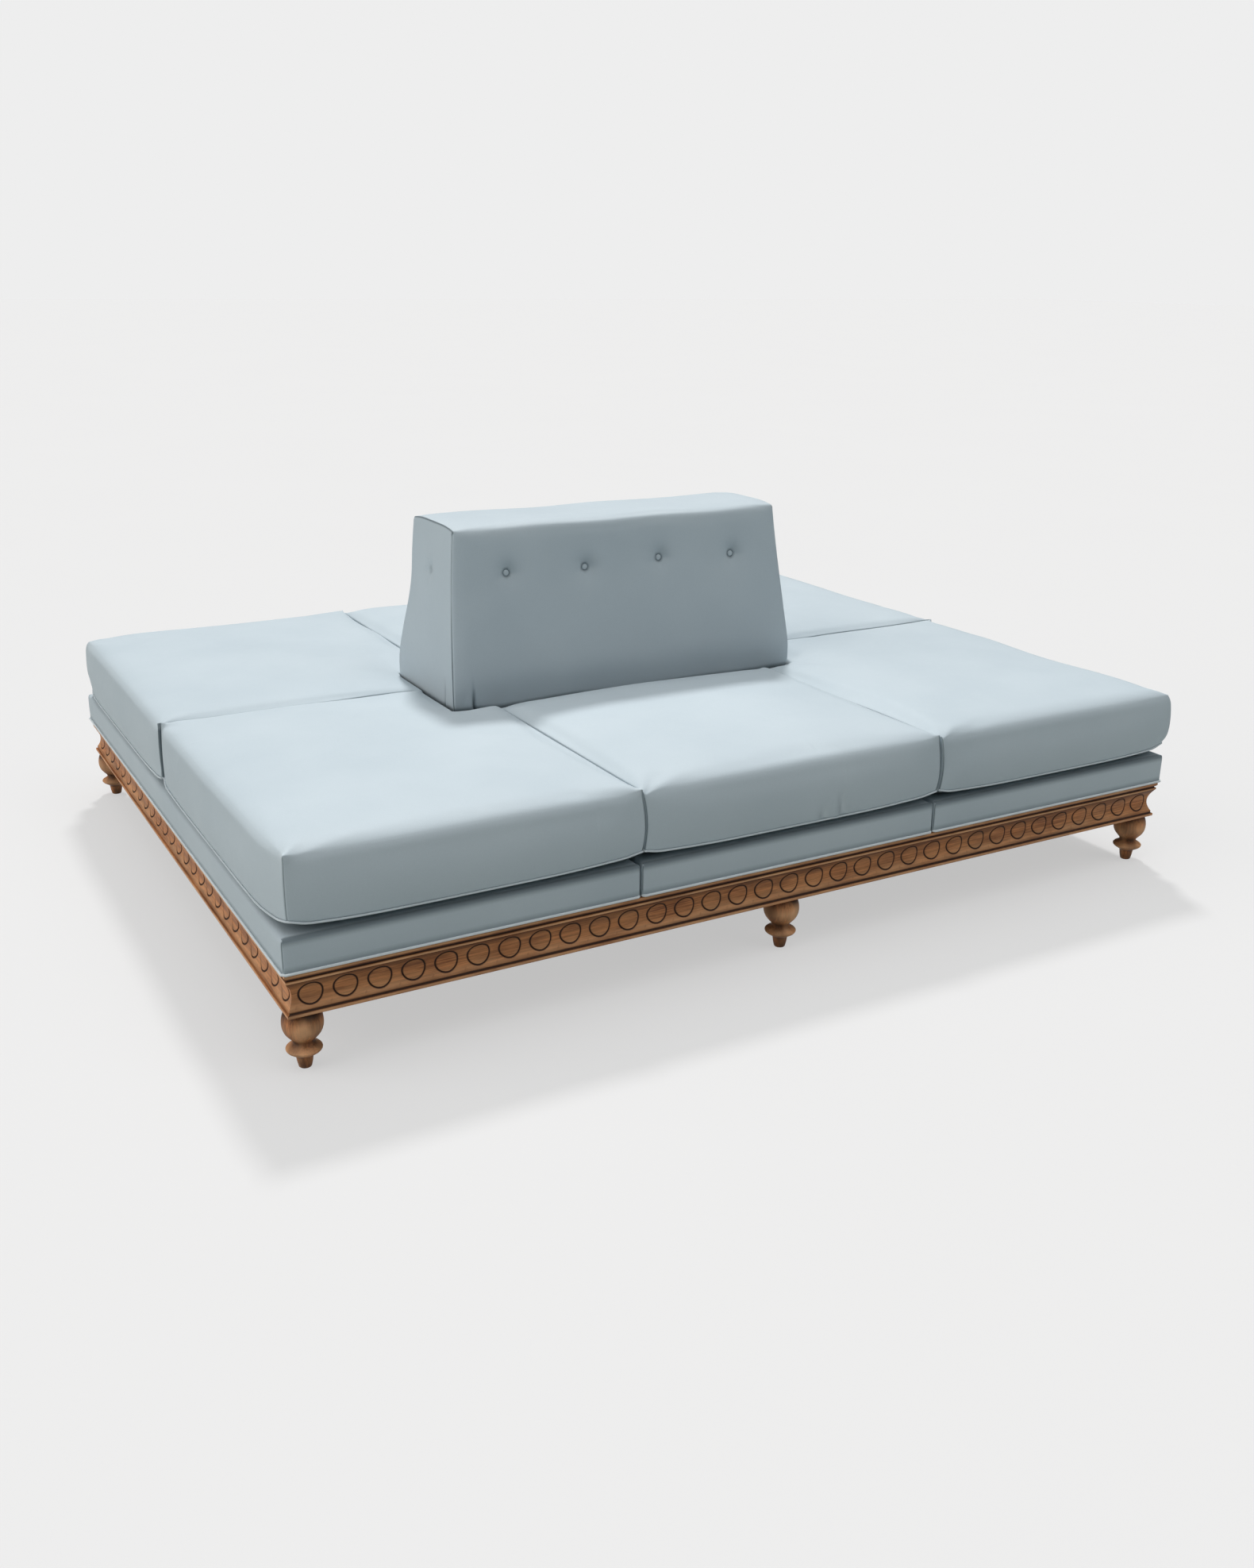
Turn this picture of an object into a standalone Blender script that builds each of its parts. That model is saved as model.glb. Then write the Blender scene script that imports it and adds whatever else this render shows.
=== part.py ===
"""Double-sided island sofa, in metres, +Z up.

A carved wooden plinth on turned feet carries three upholstered decks. Six loose seat cushions lie on the
decks, round a wedge-shaped backrest that can be leaned on from both long sides. X runs along the length,
Y across the depth, and the origin is on the floor under the centre.
"""

import math

import bmesh
import bpy
from mathutils import Matrix, Vector

# Overall
DECK_LENGTH = 2.400
DECK_DEPTH = 1.900
DECK_MIDDLE = 0.816
FIT = 0.0003

# Turned feet: diameters, and heights above the floor
FOOT_HEIGHT = 0.130
FOOT_INSET = 0.044
FOOT_TOE_DIAMETER = 0.028
FOOT_ANKLE_DIAMETER = 0.036
FOOT_RING_DIAMETER = 0.070
FOOT_NECK_DIAMETER = 0.040
FOOT_BULB_DIAMETER = 0.084
FOOT_SHOULDER_DIAMETER = 0.064
FOOT_ANKLE_HEIGHT = 0.027
FOOT_RING_HEIGHT = 0.036
FOOT_RING_EDGE = 0.006
FOOT_FLARE_HOLLOW = 0.003
FOOT_NECK_HEIGHT = 0.058
FOOT_BULB_HEIGHT = 0.092
TENON_DIAMETER = 0.020
TENON_LENGTH = 0.045
FOOT_STEPS = 14

# Plinth rails: insets from the deck's edge, and heights up the moulding
PLINTH_HEIGHT = 0.097
RAIL_INSET = 0.005
RAIL_THICKNESS = 0.024
FILLET_HEIGHT = 0.011
QUIRK_DEPTH = 0.004
QUIRK_HEIGHT = 0.002
COVE_HEIGHT = 0.056
COVE_DEPTH = 0.011
COVE_FACETS = 4
LISTEL_HEIGHT = 0.006
BEAD_BULGE = 0.004
BEAD_FACETS = 3

# Carved roundels along the cove
ROUNDEL_DIAMETER = 0.052
ROUNDEL_PITCH = 0.0714
ROUNDEL_END = 0.057
ROUNDEL_RISE = 0.002
ROUNDEL_ROOT = 0.004
ROUNDEL_SIDES = 10

# Blocks and beams inside the plinth
BLOCK_SIDE = 0.085
BLOCK_HEIGHT = 0.070
BEAM_WIDTH = 0.090
BEAM_HEIGHT = 0.085
SPINE_WIDTH = 0.045

# Upholstered decks
DECK_HEIGHT = 0.078
DECK_GAP = 0.004
DECK_SKIRT = 0.022
DECK_ROUNDING = 0.014
BOARD_THICKNESS = 0.018

# Loose seat cushions
CUSHION_THICKNESS = 0.170
CUSHION_CROWN = 0.018
CUSHION_GAP = 0.005
CUSHION_SOFTNESS = 0.044
CUSHION_BULGE = 0.008
CUSHION_TUCK = 0.016
CUSHION_TOP_TUCK = 0.001
CUSHION_SEAM_HEIGHT = 0.030
CUSHION_SHOULDER = 0.042

# Backrest: sizes at its belly, how far its ends and faces lean in above it, and rises above the decks
BACKREST_LENGTH = 1.029
BACKREST_DEPTH = 0.390
BACKREST_END_LEAN = 0.036
BACKREST_FACE_LEAN = 0.062
BACKREST_HEIGHT = 0.589
BACKREST_BELLY_HEIGHT = 0.200
BACKREST_WAIST = 0.007
BACKREST_TUCK = 0.024
BACKREST_TOP_TUCK = 0.002
BACKREST_SOFTNESS = 0.034
BACKREST_CROWN = 0.008
BACKREST_CLEARANCE = 0.004
BACKREST_PAD = 0.045
PLY_THICKNESS = 0.018
FACE_PLY_THICKNESS = 0.009

# Covered buttons in their sewn tufts
BUTTON_DIAMETER = 0.021
BUTTON_HEIGHT = 0.009
BUTTON_RIM_HEIGHT = 0.004
BUTTON_DOME = 0.002
BUTTON_PITCH = 0.225
BUTTONS_PER_FACE = 4
BUTTON_RISE = 0.477
TUFT_DIAMETER = 0.070
TUFT_DEPTH = 0.012
TUFT_HOLLOW = 0.003
TUFT_STEPS = 12

# Bolts that hold the backrest down
BOLT_DIAMETER = 0.008
BOLT_HEAD_DIAMETER = 0.020
BOLT_HEAD_HEIGHT = 0.005
BOLT_HEAD_DOME = 0.0015
BOLT_TAIL = 0.012
BOLT_FROM_END = 0.140
BOLT_FROM_SIDE = 0.054
BOLT_STEPS = 10

# Levels and spans that follow from the sizes above
PLINTH_TOP = FOOT_HEIGHT + PLINTH_HEIGHT
DECK_TOP = PLINTH_TOP + DECK_HEIGHT
SPLIT_X = DECK_MIDDLE / 2
RAIL_INNER = RAIL_INSET + RAIL_THICKNESS
BEAM_SPAN_Y = DECK_DEPTH - 2 * (RAIL_INNER + FIT)
FRAME_BASE = DECK_TOP + FIT
FRAME_TOP = DECK_TOP + BACKREST_HEIGHT - BACKREST_PAD
FRAME_HALF_LENGTH = BACKREST_LENGTH / 2 - BACKREST_END_LEAN - BACKREST_PAD
OVERCUT = 0.010

WOOD = ("carved_wood", (0.340, 0.175, 0.090), 0.55)
BARE_WOOD = ("bare_wood", (0.560, 0.400, 0.250), 0.75)
PLYWOOD = ("plywood", (0.620, 0.470, 0.300), 0.80)
FABRIC = ("blue_grey_upholstery", (0.430, 0.520, 0.560), 0.60)
STEEL = ("zinc_steel", (0.600, 0.600, 0.620), 0.35)


def collection(name):
    """A new collection in the scene."""
    made = bpy.data.collections.new(name)
    bpy.context.scene.collection.children.link(made)
    return made


def material(finish):
    """The Principled material of a finish, made on its first use."""
    name, colour, roughness = finish
    found = bpy.data.materials.get(name)
    if found:
        return found
    made = bpy.data.materials.new(name)
    made.use_nodes = True
    shader = made.node_tree.nodes["Principled BSDF"]
    shader.inputs["Base Color"].default_value = (*colour, 1.0)
    shader.inputs["Roughness"].default_value = roughness
    shader.inputs["Metallic"].default_value = 1.0 if finish is STEEL else 0.0
    return made


def place(name, data, finish, location=(0.0, 0.0, 0.0)):
    """A named part of the sofa, parented to the empty on the floor."""
    part = bpy.data.objects.new(name, data)
    part.location = location
    part.parent = ROOT
    PARTS.objects.link(part)
    part.data.materials.append(material(finish))
    return part


def helper(name, mesh, matrix=Matrix.Identity(4)):
    """A hidden cutter."""
    cutter = bpy.data.objects.new(name, mesh)
    cutter.matrix_world = matrix
    cutter.hide_render = True
    cutter.display_type = "WIRE"
    CUTTERS.objects.link(cutter)
    return cutter


def cut(part, cutter, operation="DIFFERENCE"):
    """A Boolean between a part and a hidden cutter."""
    boolean = part.modifiers.new(cutter.name, "BOOLEAN")
    boolean.operation = operation
    boolean.object = cutter


def box_mesh(name, low, high):
    """A box between two corners."""
    low, high = Vector(low), Vector(high)
    shape = bmesh.new()
    bmesh.ops.create_cube(shape, size=1.0)
    bmesh.ops.scale(shape, vec=high - low, verts=shape.verts)
    bmesh.ops.translate(shape, vec=(low + high) / 2, verts=shape.verts)
    mesh = bpy.data.meshes.new(name)
    shape.to_mesh(mesh)
    shape.free()
    return mesh


def mesh_of(obj):
    """The evaluated mesh of a curve or modified object, welded, with the object removed."""
    bpy.context.view_layer.update()
    evaluated = obj.evaluated_get(bpy.context.evaluated_depsgraph_get())
    mesh = bpy.data.meshes.new_from_object(evaluated)
    bpy.data.objects.remove(obj)
    shape = bmesh.new()
    shape.from_mesh(mesh)
    bmesh.ops.remove_doubles(shape, verts=shape.verts, dist=1e-6)
    bmesh.ops.recalc_face_normals(shape, faces=shape.faces)
    shape.to_mesh(mesh)
    shape.free()
    return mesh


def turned_mesh(name, profile, steps):
    """A solid of revolution about Z, from (radius, height) points that run from its top down to its base."""
    mesh = bpy.data.meshes.new(name)
    points = [(radius, 0.0, height) for radius, height in profile]
    mesh.from_pydata(points, [(i, i + 1) for i in range(len(points) - 1)], [])
    lathe = bpy.data.objects.new(name, mesh)
    bpy.context.scene.collection.objects.link(lathe)
    screw = lathe.modifiers.new("lathe", "SCREW")
    screw.steps = screw.render_steps = steps
    screw.use_merge_vertices = True
    screw.merge_threshold = 1e-5
    made = mesh_of(lathe)
    made.shade_smooth()
    made.set_sharp_from_angle(angle=math.radians(40))
    return made


def extruded_mesh(name, outline, half_thickness):
    """A flat outline in (u, v), extruded both ways along the third axis."""
    curve = bpy.data.curves.new(name, "CURVE")
    curve.dimensions = "2D"
    curve.fill_mode = "BOTH"
    curve.extrude = half_thickness
    spline = curve.splines.new("POLY")
    spline.points.add(len(outline) - 1)
    for point, (u, v) in zip(spline.points, outline):
        point.co = (u, v, 0.0, 1.0)
    spline.use_cyclic_u = True
    flat = bpy.data.objects.new(name, curve)
    bpy.context.scene.collection.objects.link(flat)
    return mesh_of(flat)


def along_x(mesh):
    """Turns an extruded (u, v) outline so that u is Y, v is Z and the thickness runs along X."""
    mesh.transform(Matrix(((0, 0, 1, 0), (1, 0, 0, 0), (0, 1, 0, 0), (0, 0, 0, 1))))
    return mesh


def bowed(start, end, rise, facets):
    """Points after start on a shallow bow to end, which stands off the straight line by rise to its left."""
    start, end = Vector(start), Vector(end)
    along = end - start
    left = Vector((-along.y, along.x)).normalized()
    shares = [(i + 1) / facets for i in range(facets)]
    return [tuple(start + along * t + left * rise * 4 * t * (1 - t)) for t in shares]


def swelling(start, end, facets):
    """Points after start on a turned S-curve between two (radius, height) points."""
    points = []
    for i in range(1, facets + 1):
        ease = (1 - math.cos(math.pi * i / facets)) / 2
        height = start[1] + (end[1] - start[1]) * i / facets
        points.append((start[0] + (end[0] - start[0]) * ease, height))
    return points


# Turned feet


def foot_profile():
    """Tenon, shoulder, bulb, neck, collar ring and tapered toe, from the top down."""
    shoulder = (FOOT_SHOULDER_DIAMETER / 2, FOOT_HEIGHT - FIT)
    bulb = (FOOT_BULB_DIAMETER / 2, FOOT_BULB_HEIGHT)
    neck = (FOOT_NECK_DIAMETER / 2, FOOT_NECK_HEIGHT)
    ring_top = (FOOT_RING_DIAMETER / 2, FOOT_RING_HEIGHT + FOOT_RING_EDGE)
    tenon_top = FOOT_HEIGHT + TENON_LENGTH
    profile = [(0.0, tenon_top), (TENON_DIAMETER / 2, tenon_top), (TENON_DIAMETER / 2, shoulder[1])]
    profile += [shoulder, *swelling(shoulder, bulb, 2), *swelling(bulb, neck, 4)]
    profile += bowed(neck, ring_top, -FOOT_FLARE_HOLLOW, 2)
    profile += [(FOOT_RING_DIAMETER / 2, FOOT_RING_HEIGHT), (FOOT_ANKLE_DIAMETER / 2, FOOT_ANKLE_HEIGHT)]
    return profile + [(FOOT_TOE_DIAMETER / 2, 0.0), (0.0, 0.0)]


def foot_places():
    """Where the six feet stand: each corner, and the middle of each long side."""
    x, y = DECK_LENGTH / 2 - FOOT_INSET, DECK_DEPTH / 2 - FOOT_INSET
    columns = {"left": -x, "middle": 0.0, "right": x}
    rows = {"front": -y, "back": y}
    return {f"{row}_{column}": (columns[column], rows[row]) for row in rows for column in columns}


def build_feet():
    """Six turned feet, each with a tenon in its block."""
    for where, (x, y) in foot_places().items():
        place(f"foot_{where}", turned_mesh("foot", foot_profile(), FOOT_STEPS), WOOD, (x, y, 0.0))


def build_foot_blocks():
    """Blocks behind the rails that take the tenons and stiffen the corners."""
    socket_top = FOOT_HEIGHT + TENON_LENGTH + FIT
    radius = TENON_DIAMETER / 2 + FIT
    socket_base = FOOT_HEIGHT - OVERCUT
    socket = [(0.0, socket_top), (radius, socket_top), (radius, socket_base), (0.0, socket_base)]
    reach_x = DECK_LENGTH / 2 - RAIL_INNER - FIT - BLOCK_SIDE / 2
    reach_y = DECK_DEPTH / 2 - RAIL_INNER - FIT - BLOCK_SIDE / 2
    half = BLOCK_SIDE / 2
    for where, (x, y) in foot_places().items():
        centre_x = math.copysign(reach_x, x) if x else 0.0
        centre_y = math.copysign(reach_y, y)
        low = (centre_x - half, centre_y - half, FOOT_HEIGHT)
        high = (centre_x + half, centre_y + half, FOOT_HEIGHT + BLOCK_HEIGHT)
        block = place(f"foot_block_{where}", box_mesh("foot_block", low, high), BARE_WOOD)
        mesh = turned_mesh("tenon_socket", socket, FOOT_STEPS)
        cut(block, helper(f"socket_{where}", mesh, Matrix.Translation((x, y, 0.0))))


# Carved plinth


def cove_points():
    """The cove's own outline, as (inset, height) from its lower edge to its upper edge."""
    start = (RAIL_INSET + QUIRK_DEPTH, FILLET_HEIGHT + QUIRK_HEIGHT)
    end = (RAIL_INSET + QUIRK_DEPTH / 2, FILLET_HEIGHT + QUIRK_HEIGHT + COVE_HEIGHT)
    return [start, *bowed(start, end, -COVE_DEPTH, COVE_FACETS)]


def rail_profile():
    """The moulding's outline as (inset, height): fillet, quirk, cove, listel, quirk and bead."""
    cove = cove_points()
    listel_top = cove[-1][1] + LISTEL_HEIGHT
    bead_start = (RAIL_INSET + QUIRK_DEPTH / 2, listel_top + QUIRK_HEIGHT)
    outline = [(RAIL_INNER, 0.0), (RAIL_INSET, 0.0), (RAIL_INSET, FILLET_HEIGHT), *cove]
    outline += [(RAIL_INSET, cove[-1][1]), (RAIL_INSET, listel_top)]
    outline += [(RAIL_INSET + QUIRK_DEPTH, listel_top + QUIRK_HEIGHT / 2), bead_start]
    outline += bowed(bead_start, (RAIL_INSET, PLINTH_HEIGHT), BEAD_BULGE, BEAD_FACETS)
    return outline + [(RAIL_INNER, PLINTH_HEIGHT)]


def mitred_mesh(name, outline, length, reach):
    """A moulding of (inset, height) points along X, mitred at its ends, with the deck's edge at Y = -reach."""
    mesh = along_x(extruded_mesh(name, outline, length / 2))
    for vertex in mesh.vertices:
        inset, height = vertex.co.y, vertex.co.z
        end = length / 2 - inset - FIT
        vertex.co = (math.copysign(end, vertex.co.x), inset - reach, FOOT_HEIGHT + height)
    return mesh


def roundel_places(length):
    """Where the roundels lie along a rail: evenly spaced, at about their pitch."""
    span = length - 2 * ROUNDEL_END
    gaps = round(span / ROUNDEL_PITCH)
    return [span * (i / gaps - 0.5) for i in range(gaps + 1)]


def disc_mesh(length, reach):
    """Round plugs across the cove, one at each roundel."""
    cove = cove_points()
    height = FOOT_HEIGHT + (cove[0][1] + cove[-1][1]) / 2
    across = Matrix.Rotation(math.pi / 2, 4, "X")
    shape = bmesh.new()
    for x in roundel_places(length):
        bmesh.ops.create_cone(
            shape,
            cap_ends=True,
            segments=ROUNDEL_SIDES,
            radius1=ROUNDEL_DIAMETER / 2,
            radius2=ROUNDEL_DIAMETER / 2,
            depth=2 * RAIL_INNER,
            matrix=Matrix.Translation((x, -reach, height)) @ across,
        )
    mesh = bpy.data.meshes.new("roundel_discs")
    shape.to_mesh(mesh)
    shape.free()
    return mesh


def carve_roundels(rail, length, reach, turn):
    """Raises coin-like roundels on a rail, which follow its cove."""
    cove = cove_points()
    face = [(inset - ROUNDEL_RISE, height) for inset, height in cove]
    root = [(inset + ROUNDEL_ROOT, height) for inset, height in reversed(cove)]
    coins = helper(f"{rail.name}_coins", mitred_mesh("coin_strip", face + root, length, reach), turn)
    cut(coins, helper(f"{rail.name}_discs", disc_mesh(length, reach), turn), "INTERSECT")
    cut(rail, coins, "UNION")


def build_rails():
    """Four moulded rails, mitred where they meet at the corners."""
    sides = ("front", "right", "back", "left")
    for turn, side in enumerate(sides):
        length, width = (DECK_LENGTH, DECK_DEPTH) if turn % 2 == 0 else (DECK_DEPTH, DECK_LENGTH)
        rail = place(f"plinth_rail_{side}", mitred_mesh("rail", rail_profile(), length, width / 2), WOOD)
        rail.rotation_euler = (0.0, 0.0, turn * math.pi / 2)
        carve_roundels(rail, length, width / 2, Matrix.Rotation(turn * math.pi / 2, 4, "Z"))


def build_beams():
    """Two cross beams under the deck joints, and a spine between them and the end rails."""
    beam_low = PLINTH_TOP - BEAM_HEIGHT
    outer = DECK_LENGTH / 2 - RAIL_INNER - FIT
    inner = SPLIT_X - BEAM_WIDTH / 2 - FIT
    for side, sign in (("left", -1), ("right", 1)):
        x = sign * SPLIT_X
        low = (x - BEAM_WIDTH / 2, -BEAM_SPAN_Y / 2, beam_low)
        high = (x + BEAM_WIDTH / 2, BEAM_SPAN_Y / 2, PLINTH_TOP)
        place(f"cross_beam_{side}", box_mesh("cross_beam", low, high), BARE_WOOD)
    past_beam = SPLIT_X + BEAM_WIDTH / 2 + FIT
    spans = {"left": (-outer, -past_beam), "middle": (-inner, inner), "right": (past_beam, outer)}
    for where, (x0, x1) in spans.items():
        low, high = (x0, -SPINE_WIDTH / 2, beam_low), (x1, SPINE_WIDTH / 2, PLINTH_TOP)
        place(f"spine_beam_{where}", box_mesh("spine_beam", low, high), BARE_WOOD)


# Upholstered decks


def bolt_places():
    """Where the backrest's four bolts pass through its base board and the middle deck."""
    x = FRAME_HALF_LENGTH - BOLT_FROM_END
    y = half_depth(BACKREST_BELLY_HEIGHT, BACKREST_PAD) - BOLT_FROM_SIDE
    return {"front_left": (-x, -y), "front_right": (x, -y), "back_left": (-x, y), "back_right": (x, y)}


def bolt_holes(part):
    """Clearance holes for the four bolts."""
    radius = BOLT_DIAMETER / 2 + FIT
    top, base = DECK_TOP + PLY_THICKNESS + OVERCUT, PLINTH_TOP - OVERCUT
    profile = [(0.0, top), (radius, top), (radius, base), (0.0, base)]
    for where, (x, y) in bolt_places().items():
        mesh = turned_mesh("bolt_hole", profile, BOLT_STEPS)
        cut(part, helper(f"{part.name}_hole_{where}", mesh, Matrix.Translation((x, y, 0.0))))


def build_decks():
    """Three padded decks, each wrapped over a plywood board that lies on the plinth."""
    half_x, half_y = DECK_LENGTH / 2, DECK_DEPTH / 2
    near, far = SPLIT_X - DECK_GAP / 2, SPLIT_X + DECK_GAP / 2
    spans = {"left": (-half_x, -far), "middle": (-near, near), "right": (far, half_x)}
    base, board_top = PLINTH_TOP + FIT, PLINTH_TOP + FIT + BOARD_THICKNESS
    for name, (x0, x1) in spans.items():
        block = box_mesh("deck_pad", (x0, -half_y, base), (x1, half_y, DECK_TOP))
        pad = place(f"deck_pad_{name}", block, FABRIC)
        bevel = pad.modifiers.new("soft_edges", "BEVEL")
        bevel.width = DECK_ROUNDING
        bevel.segments = 2
        well_low = (x0 + DECK_SKIRT, -half_y + DECK_SKIRT, base - OVERCUT)
        well_high = (x1 - DECK_SKIRT, half_y - DECK_SKIRT, board_top + FIT)
        cut(pad, helper(f"board_well_{name}", box_mesh("board_well", well_low, well_high)))
        gap = Vector((FIT, FIT, 0.0))
        low = Vector((*well_low[:2], base)) + gap
        high = Vector((*well_high[:2], board_top)) - gap
        board = place(f"deck_board_{name}", box_mesh("deck_board", low, high), PLYWOOD)
        if name == "middle":
            bolt_holes(pad)
            bolt_holes(board)


# Seat cushions


def cage(columns, rows, levels, notch=None):
    """A closed block of cells at whole-number (column, row, level) places, less one stack of cells at notch.

    The notch is in a corner cell, and its inner corner stays sharp.
    """
    shape = bmesh.new()
    bmesh.ops.create_grid(shape, x_segments=columns, y_segments=rows, size=0.5)
    for vertex in shape.verts:
        vertex.co = (round((vertex.co.x + 0.5) * columns), round((vertex.co.y + 0.5) * rows), 0.0)
    if notch:
        middle = Vector((notch[0] + 0.5, notch[1] + 0.5, 0.0))
        left_out = min(shape.faces, key=lambda f: (f.calc_center_median() - middle).length)
        bmesh.ops.delete(shape, geom=[left_out], context="FACES")
    sheet = shape.faces[:]
    for level in range(1, levels + 1):
        grown = bmesh.ops.extrude_face_region(shape, geom=sheet, use_keep_orig=True)["geom"]
        if level > 1:
            bmesh.ops.delete(shape, geom=sheet, context="FACES")
        sheet = [g for g in grown if isinstance(g, bmesh.types.BMFace)]
        for vertex in {v for f in sheet for v in f.verts}:
            vertex.co.z = level
    if notch:
        corner = Vector((notch[0] or 1, notch[1] or 1))
        crease = shape.edges.layers.float.new("crease_edge")
        for edge in shape.edges:
            edge[crease] = float(all((v.co.xy - corner).length < 0.5 for v in edge.verts))
    bmesh.ops.recalc_face_normals(shape, faces=shape.faces)
    return shape


def soft_mesh(name, shape):
    """The smooth-shaded mesh of a finished cage."""
    mesh = bpy.data.meshes.new(name)
    shape.to_mesh(mesh)
    shape.free()
    mesh.shade_smooth()
    return mesh


def cushion_mesh(x_lines, y_lines, notch, outer_x, outer_y):
    """The cage of a foam cushion on a grid of lines, with its origin on the deck.

    notch is the cell that is left out for the backrest, or None. outer_x and outer_y are the lines at the
    sofa's edges, where the cover swells out over its tucked-in underside.
    """
    heights = (FIT, CUSHION_SEAM_HEIGHT, CUSHION_THICKNESS - CUSHION_SHOULDER, CUSHION_THICKNESS)
    swells = (-CUSHION_TUCK, CUSHION_BULGE, CUSHION_BULGE, -CUSHION_TOP_TUCK)
    shape = cage(len(x_lines) - 1, len(y_lines) - 1, len(heights) - 1, notch)
    outline = {(v.co.x, v.co.y) for v in shape.verts if v.co.z == 1}
    for vertex in shape.verts:
        column, row, level = (int(c) for c in vertex.co)
        x, y, z = x_lines[column], y_lines[row], heights[level]
        if x == outer_x:
            x += math.copysign(1.0, x) * swells[level]
        if y == outer_y:
            y += math.copysign(1.0, y) * swells[level]
        if level == len(heights) - 1 and (vertex.co.x, vertex.co.y) not in outline:
            z += CUSHION_CROWN
        vertex.co = (x, y, z)
    return soft_mesh("cushion", shape)


def build_cushions():
    """Six loose cushions: corner ones notched for the backrest's ends, middle ones that stop at its faces."""
    half_x, half_y = DECK_LENGTH / 2, DECK_DEPTH / 2
    notch_x = BACKREST_LENGTH / 2 + BACKREST_CLEARANCE
    notch_y = BACKREST_DEPTH / 2 + BACKREST_CLEARANCE
    seam_x, seam_y = SPLIT_X + CUSHION_GAP / 2, CUSHION_GAP / 2
    middle_x = SPLIT_X - CUSHION_GAP / 2
    soft = CUSHION_SOFTNESS
    for row, y_sign in (("front", -1), ("back", 1)):
        for column, x_sign in (("left", -1), ("middle", 0), ("right", 1)):
            far_y = y_sign * half_y
            if x_sign:
                xs = [half_x, half_x - soft, notch_x + soft, notch_x, seam_x]
                ys = [half_y, half_y - soft, notch_y + soft, notch_y, seam_y]
                xs = sorted(x_sign * x for x in xs)
                outer_x = x_sign * half_x
            else:
                xs = [-middle_x, -middle_x + soft, middle_x - soft, middle_x]
                ys = [half_y, half_y - soft, notch_y + soft, notch_y]
                outer_x = math.inf
            ys = sorted(y_sign * y for y in ys)
            notch = (0 if x_sign > 0 else 3, 0 if y_sign > 0 else 3) if x_sign else None
            centre = Vector(((xs[0] + xs[-1]) / 2, (ys[0] + ys[-1]) / 2, DECK_TOP))
            x_lines, y_lines = [x - centre.x for x in xs], [y - centre.y for y in ys]
            mesh = cushion_mesh(x_lines, y_lines, notch, outer_x - centre.x, far_y - centre.y)
            cushion = place(f"seat_cushion_{row}_{column}", mesh, FABRIC, centre)
            soften(cushion)


def soften(part):
    """Subdivides a cage once into a soft form."""
    subdivision = part.modifiers.new("soft_form", "SUBSURF")
    subdivision.levels = subdivision.render_levels = 1


# Backrest


def above_belly(rise):
    """How far up from the backrest's belly to its top a rise above the decks is, from 0 to 1."""
    return max((rise - BACKREST_BELLY_HEIGHT) / (BACKREST_HEIGHT - BACKREST_BELLY_HEIGHT), 0.0)


def half_depth(rise, pad=0.0):
    """Half the backrest's depth at a rise above the decks, less a pad thickness.

    The buttons draw the faces in to a slight waist between the belly and the top.
    """
    share = above_belly(rise)
    waist = BACKREST_WAIST * 4 * share * (1 - share)
    return BACKREST_DEPTH / 2 - BACKREST_FACE_LEAN * share - waist - pad


def half_length(rise):
    """Half the backrest's length at a rise above the decks."""
    return BACKREST_LENGTH / 2 - BACKREST_END_LEAN * above_belly(rise)


def wedge_outline(gap):
    """The wooden frame's end outline in (Y, Z), grown by a gap."""
    knee = (half_depth(BACKREST_BELLY_HEIGHT, BACKREST_PAD) + gap, DECK_TOP + BACKREST_BELLY_HEIGHT)
    top = (half_depth(BACKREST_HEIGHT, BACKREST_PAD) + gap, FRAME_TOP + gap)
    right = [(knee[0], FRAME_BASE - gap), knee, top]
    return right + [(-y, z) for y, z in reversed(right)]


def build_backrest_frame():
    """A plywood box inside the backrest: base, ends, centre rib, faces and top."""
    base_top = FRAME_BASE + PLY_THICKNESS
    top_low = FRAME_TOP - PLY_THICKNESS
    length = FRAME_HALF_LENGTH
    knee_z = DECK_TOP + BACKREST_BELLY_HEIGHT
    knee_y = half_depth(BACKREST_BELLY_HEIGHT, BACKREST_PAD)
    top_y = half_depth(BACKREST_HEIGHT, BACKREST_PAD)
    low = (-length, -knee_y, FRAME_BASE)
    base = place("backrest_base_board", box_mesh("base_board", low, (length, knee_y, base_top)), PLYWOOD)
    bolt_holes(base)
    low, high = (-length, -top_y, top_low), (length, top_y, FRAME_TOP)
    place("backrest_top_board", box_mesh("top_board", low, high), PLYWOOD)
    face = FACE_PLY_THICKNESS
    edge = [(knee_y, base_top + FIT), (knee_y, knee_z), (top_y, top_low - FIT)]
    inner = [(y - face, z) for y, z in reversed(edge)]
    for name, sign in (("front", -1), ("back", 1)):
        outline = [(sign * y, z) for y, z in edge + inner]
        place(f"backrest_{name}_panel", along_x(extruded_mesh("face_panel", outline, length)), PLYWOOD)
    rib = [(y - face - FIT, z) for y, z in edge]
    outline = rib + [(-y, z) for y, z in reversed(rib)]
    rib_centre = length - PLY_THICKNESS / 2
    for name, x in (("end_panel_left", -rib_centre), ("centre_rib", 0.0), ("end_panel_right", rib_centre)):
        mesh = along_x(extruded_mesh("rib", outline, PLY_THICKNESS / 2))
        place(f"backrest_{name}", mesh, PLYWOOD, (x, 0.0, 0.0))


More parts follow.
